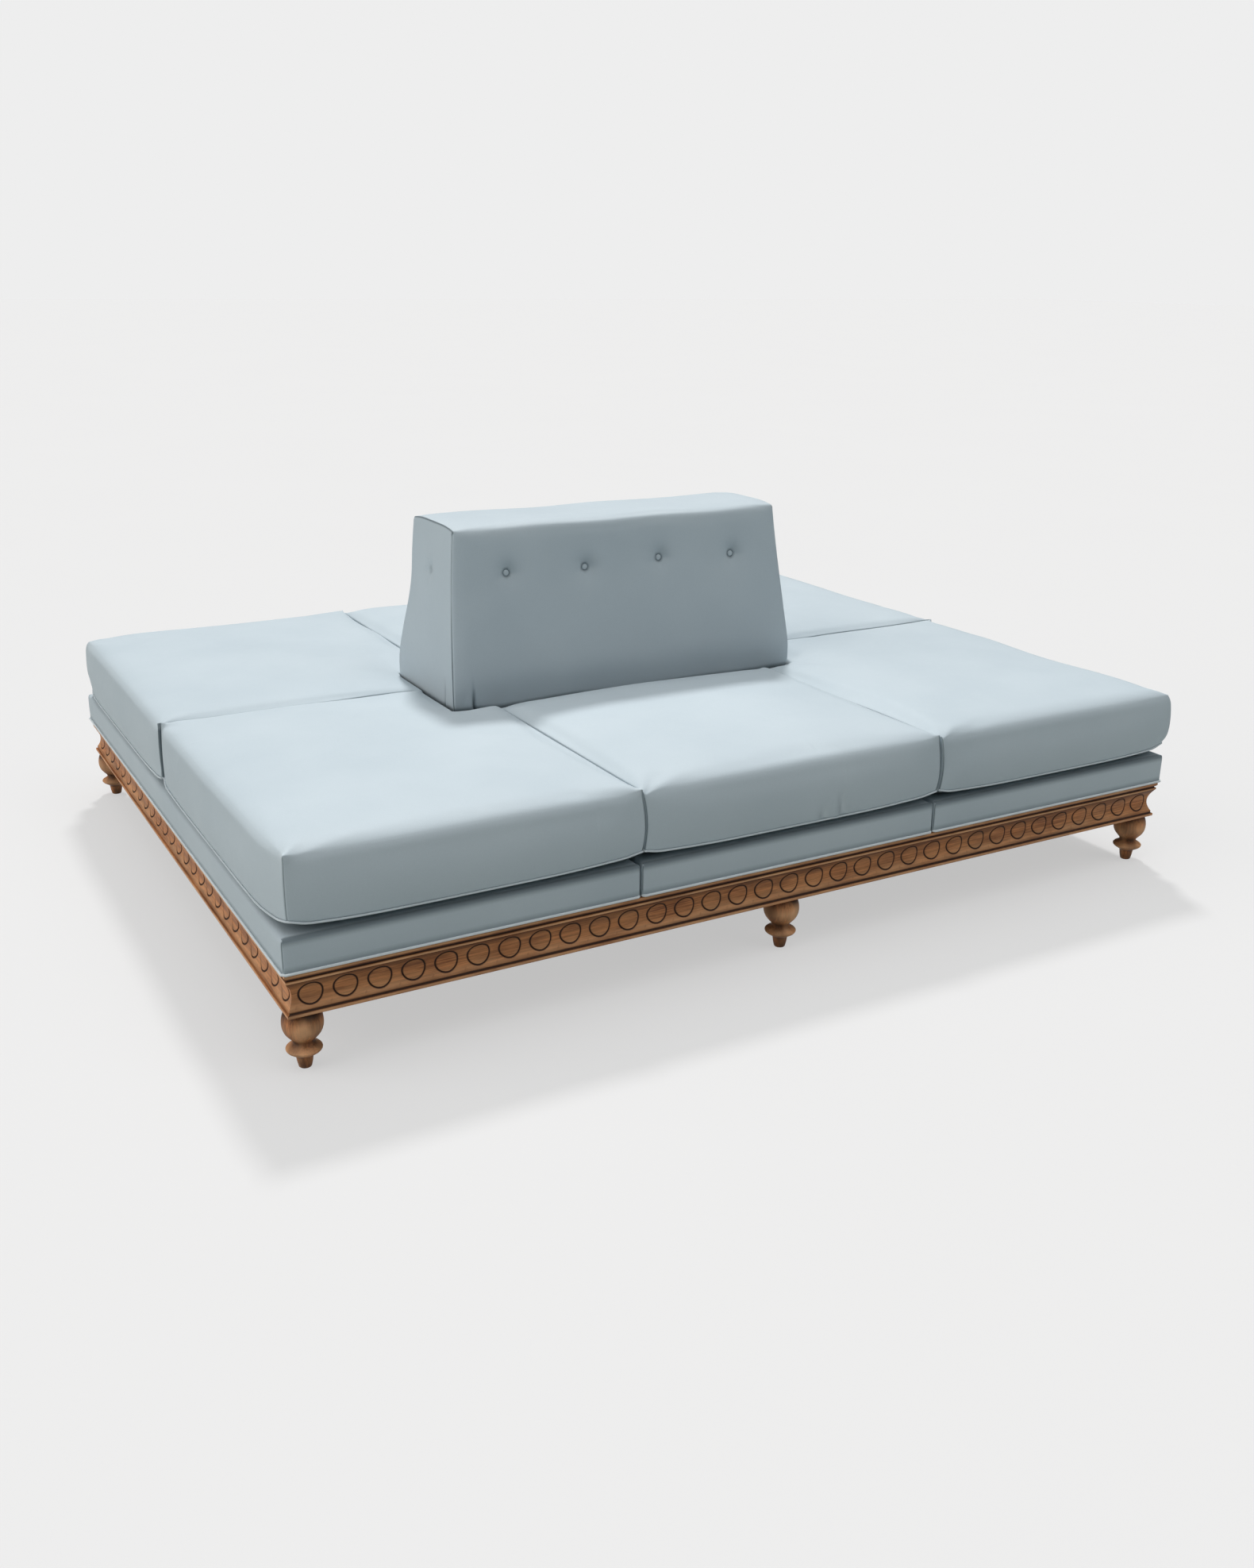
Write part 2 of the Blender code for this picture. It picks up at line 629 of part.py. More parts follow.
def cover_mesh():
    """The cage of the backrest's padded cover, a wedge with a crowned top, a belly and a drawn-in foot."""
    belly, shoulder = BACKREST_BELLY_HEIGHT, BACKREST_HEIGHT - BACKREST_SOFTNESS
    rises = (FIT, belly / 2, belly, (belly + shoulder) / 2, shoulder, BACKREST_HEIGHT)
    tucks = (BACKREST_TUCK, BACKREST_TUCK / 2, 0.0, 0.0, 0.0, BACKREST_TOP_TUCK)
    top = len(rises) - 1
    shape = cage(4, 3, top)
    for vertex in shape.verts:
        column, row, level = (int(c) for c in vertex.co)
        length = half_length(rises[level]) - tucks[level]
        depth = half_depth(rises[level]) - tucks[level]
        x = (-length, BACKREST_SOFTNESS - length, 0.0, length - BACKREST_SOFTNESS, length)[column]
        y = (-depth, BACKREST_SOFTNESS - depth, depth - BACKREST_SOFTNESS, depth)[row]
        crowned = level == top and 0 < column < 4 and 0 < row < 3
        vertex.co = (x, y, rises[level] + (BACKREST_CROWN if crowned else 0.0))
    return soft_mesh("backrest_cover", shape)


def button_places():
    """Each button's name, its point on the backrest's face and the way that it faces."""
    lean_y = math.atan2(BACKREST_FACE_LEAN, BACKREST_HEIGHT - BACKREST_BELLY_HEIGHT)
    lean_x = math.atan2(BACKREST_END_LEAN, BACKREST_HEIGHT - BACKREST_BELLY_HEIGHT)
    depth, length = half_depth(BUTTON_RISE), half_length(BUTTON_RISE)
    found = []
    for name, sign in (("front", -1), ("back", 1)):
        facing = Vector((0.0, sign * math.cos(lean_y), math.sin(lean_y)))
        for i in range(BUTTONS_PER_FACE):
            x = (i - (BUTTONS_PER_FACE - 1) / 2) * BUTTON_PITCH
            found.append((f"{name}_{i + 1}", Vector((x, sign * depth, DECK_TOP + BUTTON_RISE)), facing))
    for name, sign in (("end_left", -1), ("end_right", 1)):
        facing = Vector((sign * math.cos(lean_x), 0.0, math.sin(lean_x)))
        found.append((name, Vector((sign * length, 0.0, DECK_TOP + BUTTON_RISE)), facing))
    return found


def tuft_profile():
    """The hollow that a button pulls into the cover, from outside the face down to the button's seat."""
    outside = TUFT_DEPTH + OVERCUT
    seat = BUTTON_DIAMETER / 2 + FIT
    rim = (TUFT_DIAMETER / 2, TUFT_DEPTH)
    hollow = bowed(rim, (seat, 0.0), TUFT_HOLLOW, 3)
    return [(0.0, outside), (TUFT_DIAMETER / 2, outside), rim, *hollow, (0.0, 0.0)]


def button_profile():
    """A domed covered button, from its crown down to its flat back."""
    crown, rim = (0.0, BUTTON_HEIGHT), (BUTTON_DIAMETER / 2, BUTTON_RIM_HEIGHT)
    return [crown, *bowed(crown, rim, BUTTON_DOME, 2), (BUTTON_DIAMETER / 2, FIT), (0.0, FIT)]


def build_backrest_cover():
    """The padded cover over the wooden frame, with a sewn tuft and a covered button at each button place."""
    cover = place("backrest_cover", cover_mesh(), FABRIC, (0.0, 0.0, DECK_TOP))
    soften(cover)
    cavity = along_x(extruded_mesh("frame_cavity", wedge_outline(FIT), FRAME_HALF_LENGTH + FIT))
    for vertex in cavity.vertices:
        if vertex.co.z < FRAME_BASE:
            vertex.co.z = DECK_TOP - OVERCUT
    cut(cover, helper("frame_cavity", cavity))
    for name, point, facing in button_places():
        turn = facing.to_track_quat("Z", "Y").to_matrix().to_4x4()
        seat = Matrix.Translation(point - facing * TUFT_DEPTH) @ turn
        cut(cover, helper(f"tuft_{name}", turned_mesh("tuft", tuft_profile(), TUFT_STEPS), seat))
        button = place(f"button_{name}", turned_mesh("button", button_profile(), TUFT_STEPS), FABRIC)
        button.matrix_local = seat


def build_bolts():
    """Four carriage bolts from the backrest's base board down through the middle deck."""
    seat = FRAME_BASE + PLY_THICKNESS + FIT
    tail = PLINTH_TOP + FIT - BOLT_TAIL
    head, shank = BOLT_HEAD_DIAMETER / 2, BOLT_DIAMETER / 2
    crown = (0.0, seat + BOLT_HEAD_HEIGHT)
    profile = [crown, *bowed(crown, (head, seat), BOLT_HEAD_DOME, 2)]
    profile += [(shank, seat), (shank, tail), (0.0, tail)]
    for where, (x, y) in bolt_places().items():
        place(f"backrest_bolt_{where}", turned_mesh("bolt", profile, BOLT_STEPS), STEEL, (x, y, 0.0))


for leftover in list(bpy.data.objects):
    bpy.data.objects.remove(leftover)
PARTS = collection("Double-sided sofa")
CUTTERS = collection("Cutters")
ROOT = bpy.data.objects.new("sofa_floor_centre", None)
PARTS.objects.link(ROOT)
build_feet()
build_foot_blocks()
build_rails()
build_beams()
build_decks()
build_cushions()
build_backrest_frame()
build_backrest_cover()
build_bolts()
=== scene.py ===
"""Looks of the double-sided island sofa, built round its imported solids. Metres, +Z up.

X runs along the length, Y across the depth, and the origin is on the floor under the centre.
"""

import math

import bpy
import numpy as np
from mathutils import Matrix, Vector


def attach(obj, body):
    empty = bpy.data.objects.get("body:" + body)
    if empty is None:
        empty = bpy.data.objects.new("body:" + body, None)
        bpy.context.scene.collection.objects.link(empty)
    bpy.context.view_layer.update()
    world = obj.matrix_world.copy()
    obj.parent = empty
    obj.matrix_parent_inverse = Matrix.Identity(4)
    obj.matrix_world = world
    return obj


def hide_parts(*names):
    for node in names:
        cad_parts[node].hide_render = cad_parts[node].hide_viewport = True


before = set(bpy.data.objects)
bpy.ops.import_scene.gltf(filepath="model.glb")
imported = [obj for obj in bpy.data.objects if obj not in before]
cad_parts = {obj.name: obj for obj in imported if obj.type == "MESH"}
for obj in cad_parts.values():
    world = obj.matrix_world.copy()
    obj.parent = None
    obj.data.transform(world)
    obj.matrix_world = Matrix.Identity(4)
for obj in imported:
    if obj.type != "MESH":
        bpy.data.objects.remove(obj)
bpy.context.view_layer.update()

# Sizes of the solids
DECK_LENGTH = 2.400
DECK_DEPTH = 1.900
SPLIT_X = 0.408
FIT = 0.0003
FOOT_HEIGHT = 0.130
FOOT_INSET = 0.044
TENON_RADIUS = 0.010
TENON_TOP = 0.175
PLINTH_HEIGHT = 0.097
PLINTH_TOP = FOOT_HEIGHT + PLINTH_HEIGHT
RAIL_INSET = 0.005
RAIL_INNER = 0.029
COVE_LOW = (0.009, 0.013)
COVE_HIGH = (0.007, 0.0735)
COVE_DEPTH = 0.011
ROUNDEL_PITCH = 0.0714
ROUNDEL_END = 0.057
DECK_HEIGHT = 0.078
DECK_TOP = PLINTH_TOP + DECK_HEIGHT
DECK_GAP = 0.004
DECK_SKIRT = 0.022
BOARD_THICKNESS = 0.018
CUSHION_THICKNESS = 0.170
CUSHION_TOUCH = 0.0014
BACKREST_LENGTH = 1.029
BACKREST_DEPTH = 0.390
BACKREST_END_LEAN = 0.036
BACKREST_FACE_LEAN = 0.062
BACKREST_HEIGHT = 0.589
BELLY_HEIGHT = 0.200
BACKREST_TUCK = 0.024
BACKREST_CLEARANCE = 0.004
BACKREST_PAD = 0.045
BUTTON_RISE = 0.477
BUTTON_PITCH = 0.225

# Soft forms
EDGE_STEPS = (0.0, 0.0025, 0.006, 0.013, 0.022, 0.034, 0.050)
CUSHION_STEP = 0.024
OUTER_SOFTNESS = 0.028
INNER_SOFTNESS = 0.006
TOP_SOFTNESS = 0.028
SEAM_SOFTNESS = 0.006
BACKREST_ROLL = 0.046
BACKREST_DIP = 0.018
END_DIP = 0.006
PIPING_HEIGHT = 0.016
PIPING_RADIUS = 0.0024
PIPING_PROUD, PIPING_SUNK = 0.0016, 0.0012
# Share of painted highlight on the piping
PIPING_PALE = 0.45
WELT_RADIUS = 0.0030
CUSHION_CROWN = 0.010
CUSHION_BULGE = 0.004
CROWN_REACH = 0.26
NOTCH_CROWN_REACH = 0.24
SWELL_REACH = 0.20
DIP_FOOT = 0.072
MIDDLE_RISE = 0.008
SIDE_SAG, SIDE_SAG_REACH = 0.006, 0.030
ROW_SAG, ROW_SAG_REACH = 0.0012, 0.012
OUTER_UNDERCUT, INNER_UNDERCUT = 0.034, 0.010
LOW_ZONE = 0.095
CORNER_LIFT, CORNER_LIFT_REACH = 0.007, 0.13
OUTER_CURL, SPLIT_CURL, CURL_REACH = 0.010, 0.007, 0.028
SPLIT_NOTCH, SPLIT_NOTCH_REACH = {"middle": 0.002, "right": 0.008}, 0.024
CREVICE, CREVICE_REACH = 0.007, 0.030
PULLED_CUSHION = ("front", "left")
SEWN_POWER = 5.0
ROUND_POWER = {"front": 1.2, "back": 0.4}
CORNER_FULLNESS = {"front": 0.006, "back": 0.003}
CORNER_TUCK, TUCK_REACH, TUCK_FOOT = 0.009, 0.09, 0.05
CORNER_DROP = 0.004
FULL_REACH = 0.12
DRAWN_CORNER, DRAWN_REACH = (0.015, 0.004, 0.003), 0.085
SEAM_DRAW, SEAM_LIP = 0.0012, 0.0004
EAR_OUT, EAR_UP = 0.0022, 0.0030
CUSHION_WANDER = 0.0016
CUSHION_PLAY = 0.005
SPLIT_LEAN = 0.010
NOTCH_FILL, NOTCH_FILL_REACH = 0.008, 0.030

# Place, width, height and depth of the middle cushion's wrinkles
WRINKLES = ((0.075, 0.010, 0.056, 0.0060), (0.131, 0.012, 0.090, 0.0080))
WRINKLE_LEAN = 0.25
# Painted shade in the wrinkles' folds and painted highlight on their ridges
FOLD_SHADE, RIDGE_PALE = 0.42, 0.45

# Shares of shade painted on the cushions
SEAM_SHADE = 0.9
ROW_SHADE = 0.45
PIPED_SHADE = 0.20
UNDER_SHADE = 0.70
CONTACT_SHADE = 0.4

# Camera and light
CAMERA_PLACE = (-1.87872, -3.44667, 1.51759)
CAMERA_YAW, CAMERA_PITCH, CAMERA_ROLL = 29.8297, -19.5711, 0.6848
FOCAL_PX = 1839.72
PHOTO_HEIGHT_PX = 1975
SENSOR_MM = 36.0
LAMPS = (
    ("key", 2.22, 7.0, (1.0, 1.0, 1.0), (-0.263, -0.543, -0.798)),
    ("left_fill", 1.32, 60.0, (1.0, 0.965, 0.93), (0.80, -0.14, -0.48)),
    ("right_fill", 0.42, 40.0, (1.0, 1.0, 1.0), (-0.45, 0.55, -0.70)),
)
STUDIO_GREY = (0.855, 0.855, 0.855)
DOME_LOW, DOME_ZENITH = (0.01, 0.01, 0.01), (2.14, 2.22, 2.26)
DOME_POWER = 8.0
FLOOR_GLOW = 0.6
FLOOR_REACH = 60.0


# Materials


class Graph:
    """The node tree of a material or a world, with short ways to add and join nodes."""

    def __init__(self, owner):
        owner.use_nodes = True
        self.owner = owner
        self.nodes, self.links = owner.node_tree.nodes, owner.node_tree.links
        self.shader = self.nodes.get("Principled BSDF")

    def set(self, node, inputs):
        """Sets or links inputs, by name or number."""
        for key, value in inputs.items():
            socket = node.inputs[key]
            if isinstance(value, bpy.types.NodeSocket):
                self.links.new(value, socket)
            elif isinstance(value, tuple) and len(value) == 3 and socket.type == "RGBA":
                socket.default_value = (*value, 1.0)
            else:
                socket.default_value = value
        return node

    def add(self, kind, inputs=None, **settings):
        """A new node with its settings and inputs."""
        node = self.nodes.new("ShaderNode" + kind)
        for key, value in settings.items():
            setattr(node, key, value)
        return self.set(node, inputs or {})

    def attribute(self, name):
        """A mesh attribute's node."""
        return self.add("Attribute", attribute_name=name)

    def noise(self, vector, scale, detail=3.0, roughness=0.55):
        """Fractal noise around 0.5."""
        inputs = {"Vector": vector, "Scale": scale, "Detail": detail, "Roughness": roughness}
        return self.add("TexNoise", inputs).outputs["Fac"]

    def mix(self, factor, first, second):
        """A mix of two colours."""
        node = self.add("Mix", data_type="RGBA")
        self.set(node, {0: factor, 6: first, 7: second})
        return node.outputs[2]

    def remap(self, value, low, high, to_low=0.0, to_high=1.0):
        """A clamped change of range."""
        inputs = {"Value": value, "From Min": low, "From Max": high, "To Min": to_low, "To Max": to_high}
        return self.add("MapRange", inputs).outputs["Result"]

    def math(self, operation, first, second=0.0):
        """One sum on two numbers."""
        return self.add("Math", {0: first, 1: second}, operation=operation).outputs[0]

    def scaled(self, vector, factors):
        """A vector times three factors."""
        return self.add("VectorMath", {0: vector, 1: factors}, operation="MULTIPLY").outputs[0]

    def bump(self, height, strength, distance, normal=None):
        """A bumped normal."""
        inputs = {"Height": height, "Strength": strength, "Distance": distance}
        if normal is not None:
            inputs["Normal"] = normal
        return self.add("Bump", inputs).outputs["Normal"]


def upholstery_material():
    """Pale blue-grey coated cloth with a fine pebbled grain, painted shade in its seams, gaps and hollows,
    and painted highlight on its welts, piping and wrinkle ridges.
    """
    g = Graph(bpy.data.materials.new("pale_blue_upholstery"))
    place = g.add("TexCoord").outputs["Object"]
    cloud = g.remap(g.noise(place, 3.2, 2.0), 0.3, 0.7)
    colour = g.mix(cloud, (0.478, 0.548, 0.590), (0.518, 0.586, 0.625))
    fleck = g.remap(g.noise(place, 520.0, 2.0), 0.25, 0.75)
    colour = g.mix(g.math("MULTIPLY", fleck, 0.16), colour, (0.30, 0.36, 0.40))
    # Painted highlight from the pale attribute: the welts, the piping and the wrinkles' ridges
    colour = g.mix(g.attribute("pale").outputs["Fac"], colour, (0.710, 0.765, 0.790))
    # Painted shade in seams, gaps, creases, tufts and hollows, carried by this attribute
    painted_shade = g.attribute("painted_shade").outputs["Fac"]
    colour = g.mix(g.math("MULTIPLY", painted_shade, 0.88), colour, (0.085, 0.115, 0.132))
    pebble = g.add("TexVoronoi", {"Vector": place, "Scale": 620.0}, feature="SMOOTH_F1").outputs["Distance"]
    weave = g.noise(place, 260.0, 3.0)
    normal = g.bump(pebble, 0.16, 0.0006)
    normal = g.bump(weave, 0.10, 0.0008, normal)
    rough = g.remap(g.noise(place, 40.0, 3.0), 0.3, 0.7, 0.58, 0.68)
    g.set(g.shader, {"Base Color": colour, "Roughness": rough, "Normal": normal})
    g.set(g.shader, {"Specular IOR Level": 0.16, "Sheen Weight": 0.05, "Sheen Roughness": 0.45})
    return g.owner


def wood_material():
    """Old carved hardwood: streaked grain, painted shade in the cuts and under the mouldings, and worn rounds
    with painted highlight.
    """
    g = Graph(bpy.data.materials.new("carved_brown_wood"))
    grain = g.attribute("grain").outputs["Vector"]
    streak = g.noise(g.scaled(grain, (7.0, 260.0, 260.0)), 1.0, 5.0, 0.62)
    fine = g.noise(g.scaled(grain, (24.0, 900.0, 900.0)), 1.0, 3.0)
    patch = g.noise(g.scaled(grain, (9.0, 22.0, 22.0)), 1.0, 3.0)
    colour = g.mix(g.remap(streak, 0.36, 0.64), (0.225, 0.078, 0.027), (0.650, 0.255, 0.092))
    colour = g.mix(g.remap(patch, 0.35, 0.70, 0.0, 0.50), colour, (0.720, 0.335, 0.138))
    soil = g.noise(g.scaled(grain, (8.0, 45.0, 45.0)), 1.0, 3.0)
    colour = g.mix(g.remap(soil, 0.48, 0.70, 0.0, 0.55), colour, (0.150, 0.056, 0.023))
    colour = g.mix(g.remap(fine, 0.52, 0.70, 0.0, 0.45), colour, (0.130, 0.048, 0.020))
    # Wear and painted highlight on the rounds and edges, broken up by the patches
    worn_and_lit = g.math("MULTIPLY", g.attribute("wear_and_highlight").outputs["Fac"], g.remap(patch, 0.30, 0.62, 0.35, 1.0))
    colour = g.mix(g.math("MULTIPLY", worn_and_lit, 0.85), colour, (0.850, 0.480, 0.252))
    # Painted shade in the cuts, under the mouldings and in the feet's hollows
    shade_level = g.attribute("painted_wood_shade").outputs["Fac"]
    colour = g.mix(g.math("MULTIPLY", shade_level, 0.97), colour, (0.030, 0.014, 0.008))
    height = g.math("ADD", streak, g.math("MULTIPLY", fine, 0.5))
    normal = g.bump(height, 0.22, 0.0010)
    rough = g.remap(streak, 0.3, 0.7, 0.48, 0.66)
    g.set(g.shader, {"Base Color": colour, "Roughness": rough, "Normal": normal})
    g.set(g.shader, {"Specular IOR Level": 0.30})
    return g.owner


def timber_material(name, pale, dark, along):
    """Plain sawn timber or plywood faces with grain along one axis."""
    g = Graph(bpy.data.materials.new(name))
    place = g.add("TexCoord").outputs["Object"]
    factors = [90.0, 90.0, 90.0]
    factors[along] = 4.0
    streak = g.noise(g.scaled(place, tuple(factors)), 1.0, 5.0, 0.6)
    broad = g.noise(g.scaled(place, tuple(f / 6 for f in factors)), 1.0, 2.0)
    colour = g.mix(g.remap(streak, 0.3, 0.7), dark, pale)
    colour = g.mix(g.remap(broad, 0.4, 0.7, 0.0, 0.35), colour, dark)
    rough = g.remap(streak, 0.3, 0.7, 0.65, 0.82)
    g.set(g.shader, {"Base Color": colour, "Roughness": rough, "Normal": g.bump(streak, 0.2, 0.0008)})
    return g.owner


def steel_material():
    """Zinc-plated steel with a faint spangle."""
    g = Graph(bpy.data.materials.new("zinc_plated_steel"))
    place = g.add("TexCoord").outputs["Object"]
    spangle = g.add("TexVoronoi", {"Vector": place, "Scale": 260.0}).outputs["Distance"]
    colour = g.mix(g.remap(spangle, 0.1, 0.7), (0.52, 0.53, 0.55), (0.68, 0.69, 0.71))
    rough = g.remap(g.noise(place, 300.0), 0.3, 0.7, 0.28, 0.42)
    g.set(g.shader, {"Base Color": colour, "Roughness": rough, "Metallic": 1.0})
    return g.owner


FABRIC = upholstery_material()
WOOD = wood_material()


# Mesh tools


def new_piece(name, points, faces, finish, smooth_angle=None):
    """A smooth-shaded mesh object in the sofa's frame."""
    mesh = bpy.data.meshes.new(name)
    mesh.from_pydata(np.asarray(points, float).tolist(), [], [list(map(int, f)) for f in faces])
    mesh.shade_smooth()
    if smooth_angle:
        mesh.set_sharp_from_angle(angle=math.radians(smooth_angle))
    mesh.materials.append(finish)
    piece = bpy.data.objects.new(name, mesh)
    bpy.context.scene.collection.objects.link(piece)
    return piece


def settle(piece, slot, *nodes, body="base"):
    """Ties a finished piece to its body and hides the solids that it stands for; its finish's slot is not
    used.
    """
    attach(piece, body)
    if nodes:
        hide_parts(*nodes)
    return piece


def upholster(piece, node, body="base"):
    """Rounds and ties an upholstered piece."""
    smooth = piece.modifiers.new("smooth", "SUBSURF")
    smooth.levels = smooth.render_levels = 1
    settle(piece, "upholstery", node, body=body)


def paint(piece, name, values):
    """A point attribute of numbers or vectors."""
    values = np.asarray(values, np.float32)
    kind, field = ("FLOAT_VECTOR", "vector") if values.ndim == 2 else ("FLOAT", "value")
    made = piece.data.attributes.new(name, kind, "POINT")
    made.data.foreach_set(field, values.ravel())


def points_of(mesh):
    """A mesh's vertices as an array."""
    flat = np.zeros(len(mesh.vertices) * 3, np.float32)
    mesh.vertices.foreach_get("co", flat)
    return flat.reshape(-1, 3).astype(float)


def put_points(mesh, points):
    """Writes an array back to a mesh's vertices."""
    mesh.vertices.foreach_set("co", np.asarray(points, np.float32).ravel())
    mesh.update()


def smooth_step(share):
    """An eased share from 0 to 1."""
    share = np.clip(share, 0.0, 1.0)
    return share * share * (3.0 - 2.0 * share)


def bell(distance, width):
    """A smooth bump: 1 at no distance, and near 0 beyond twice the width."""
    return np.exp(-((distance / width) ** 2))


def crown_share(distance, reach):
    """How far a padded face has risen at a distance from its edge."""
    share = np.clip(distance / reach, 0.0, 1.0)
    return share * (2.0 - share)


def grid_lines(stops, step, near=EDGE_STEPS):
    """Grid lines that lie dense beside every stop and about a step apart between them."""
    found = []
    for low, high in zip(stops, stops[1:]):
        offsets = [o for o in near if o < (high - low) / 2 - 0.002]
        left, right = low + offsets[-1], high - offsets[-1]
        count = max(1, round((right - left) / step))
        found += [low + o for o in offsets] + [high - o for o in offsets]
        found += [left + (right - left) * i / count for i in range(1, count)]
    return np.unique(np.round(found, 6))


def block_skin(solid, *lines):
    """The skin of a block of cells between grid lines: x, y and z of its points, and quads that face out."""
    padded = np.pad(solid, 1)
    rings = []
    for axis in range(3):
        u, v = (axis + 1) % 3, (axis + 2) % 3
        for side in (0, 1):
            cells = np.argwhere(padded & ~np.roll(padded, -1 if side else 1, axis)) - 1
            ring = np.repeat(cells[:, None, :], 4, axis=1)
            for n, (du, dv) in enumerate(((0, 0), (1, 0), (1, 1), (0, 1))):
                ring[:, n, u] += du
                ring[:, n, v] += dv
            ring[:, :, axis] += side
            rings.append(ring if side else ring[:, ::-1])
    places, index = np.unique(np.concatenate(rings).reshape(-1, 3), axis=0, return_inverse=True)
    return *(line[place] for line, place in zip(lines, places.T)), index.reshape(-1, 4)


def edge_share(value, low, high, low_zone, high_zone):
    """How far a point is into the edge zones: -1 on the low face, 1 on the high face, 0 between."""
    into_high = np.clip((value - high + high_zone) / high_zone, 0.0, 1.0)
    return into_high - np.clip((low + low_zone - value) / low_zone, 0.0, 1.0)


def softened(points, shares, radii, norm):
    """Draws a block's edge zones onto rounded edges, whose section follows the norm."""
    pull = radii * shares
    scale = np.abs(shares).max(1) / np.maximum(norm, 1e-9)
    return points - pull + pull * scale[:, None]


def edge_norm(a, b, c, power):
    """The norm of three edge shares: nearly square in plan, and of the given power up the section."""
    plan = (np.abs(a) ** 7 + np.abs(b) ** 7) ** (1 / 7)
    return (plan**power + np.abs(c) ** power) ** (1 / power)


def wander(points, seed, waves=7, longest=0.7, shortest=0.22):
    """A smooth seeded field of three components, about -1 to 1."""
    draw = np.random.default_rng(seed)
    total = np.zeros_like(points)
    for _ in range(waves):
        way = draw.normal(size=3)
        way *= 2 * math.pi / (draw.uniform(shortest, longest) * np.linalg.norm(way))
        total += draw.normal(size=3) * np.sin(points @ way + draw.uniform(0, 2 * math.pi))[:, None]
    return total / math.sqrt(waves)


def loop_order(faces, members):
    """The member vertices in order round the closed loop that they form along the faces' edges."""
    inside = np.zeros(faces.max() + 1, bool)
    inside[members] = True
    edges = np.concatenate([faces[:, [i, (i + 1) % 4]] for i in range(4)])
    links = {}
    for first, second in edges[inside[edges].all(1)].tolist():
        links.setdefault(first, set()).add(second)
        links.setdefault(second, set()).add(first)
    loop, before = [int(members[0])], None
    while True:
        onward = next(v for v in sorted(links[loop[-1]]) if v != before)
        if onward == loop[0]:
            return loop
        before = loop[-1]
        loop.append(onward)


def tube(path, radius, sides=8):
    """Points and quads of a round tube along a closed, nearly level path."""
    count = len(path)
    along = np.roll(path, -1, 0) - np.roll(path, 1, 0)
    along /= np.linalg.norm(along, axis=1)[:, None]
    side = np.cross(along, (0.0, 0.0, 1.0))
    side /= np.linalg.norm(side, axis=1)[:, None]
    up = np.cross(side, along)
    turns = 2 * math.pi * np.arange(sides) / sides
    across, rise = np.cos(turns)[None, :, None], np.sin(turns)[None, :, None]
    ring = radius * (across * side[:, None] + rise * up[:, None])
    points = (path[:, None] + ring).reshape(-1, 3)
    faces = []
    for i in range(count):
        j = (i + 1) % count
        for k in range(sides):
            n = (k + 1) % sides
            faces.append((i * sides + k, i * sides + n, j * sides + n, j * sides + k))
    return points, faces


def turned(profile, steps):
    """Points, faces and profile rows of a solid turned about Z, from (radius, height) points, top to base.

    The first and the last point lie on the axis.
    """
    radii = np.array([r for r, _ in profile[1:-1]])
    heights = np.array([h for _, h in profile[1:-1]])
    turns = 2 * math.pi * np.arange(steps) / steps
    ring = np.stack([np.cos(turns), np.sin(turns)], 1)
    points = np.zeros((len(radii), steps, 3))
    points[:, :, :2] = radii[:, None, None] * ring[None]
    points[:, :, 2] = heights[:, None]
    flat = np.vstack([points.reshape(-1, 3), (0, 0, profile[0][1]), (0, 0, profile[-1][1])])
    top, base = len(flat) - 2, len(flat) - 1
    faces = []
    for k in range(steps):
        n = (k + 1) % steps
        faces.append((top, k, n))
        for row in range(len(radii) - 1):
            a, b = row * steps, (row + 1) * steps
            faces.append((a + k, b + k, b + n, a + n))
        last = (len(radii) - 1) * steps
        faces.append((base, last + n, last + k))
    row_of = np.concatenate([np.repeat(np.arange(1, len(profile) - 1), steps), [0, len(profile) - 1]])
    return flat, faces, row_of


def curve_through(points, per_span=6):
    """A smooth line of (radius, height) through given points."""
    pts = np.asarray(points, float)
    ends = np.vstack([2 * pts[0] - pts[1], pts, 2 * pts[-1] - pts[-2]])
    found = []
    for i in range(len(pts) - 1):
        p0, p1, p2, p3 = ends[i : i + 4]
        for t in np.arange(per_span) / per_span:
            bend, twist = 2 * p0 - 5 * p1 + 4 * p2 - p3, 3 * p1 - p0 - 3 * p2 + p3
            found.append(0.5 * (2 * p1 + (p2 - p0) * t + bend * t**2 + twist * t**3))
    return [tuple(p) for p in found] + [tuple(pts[-1])]


# Carved plinth


COVE_ROWS = 10
MODULE_COLUMNS = 10
RING_RADII = (0.0090, 0.0165, 0.0203, 0.0214, 0.0222, 0.0233, 0.0244, 0.0252, 0.0260)
RING_RELIEF = (0.0012, 0.0011, 0.0010, 0.0006, -0.0010, -0.0018, -0.0010, -0.0002, 0.0)
# Painted shade, and wear with painted highlight, for each ring from the middle out
RING_SHADE = (0.0, 0.0, 0.05, 0.45, 1.0, 1.0, 1.0, 0.45, 0.05)
RING_WEAR_AND_HIGHLIGHT = (0.0, 0.0, 0.05, 0.05, 0.0, 0.0, 0.0, 0.0, 0.05)
RING_STRETCH = 1.06
MITRE_COLUMNS = 3
FILLET_TOP = 0.0125
# Share of the painted shade kept on the end rails' lower fillet
END_RAIL_SHADE = 0.25
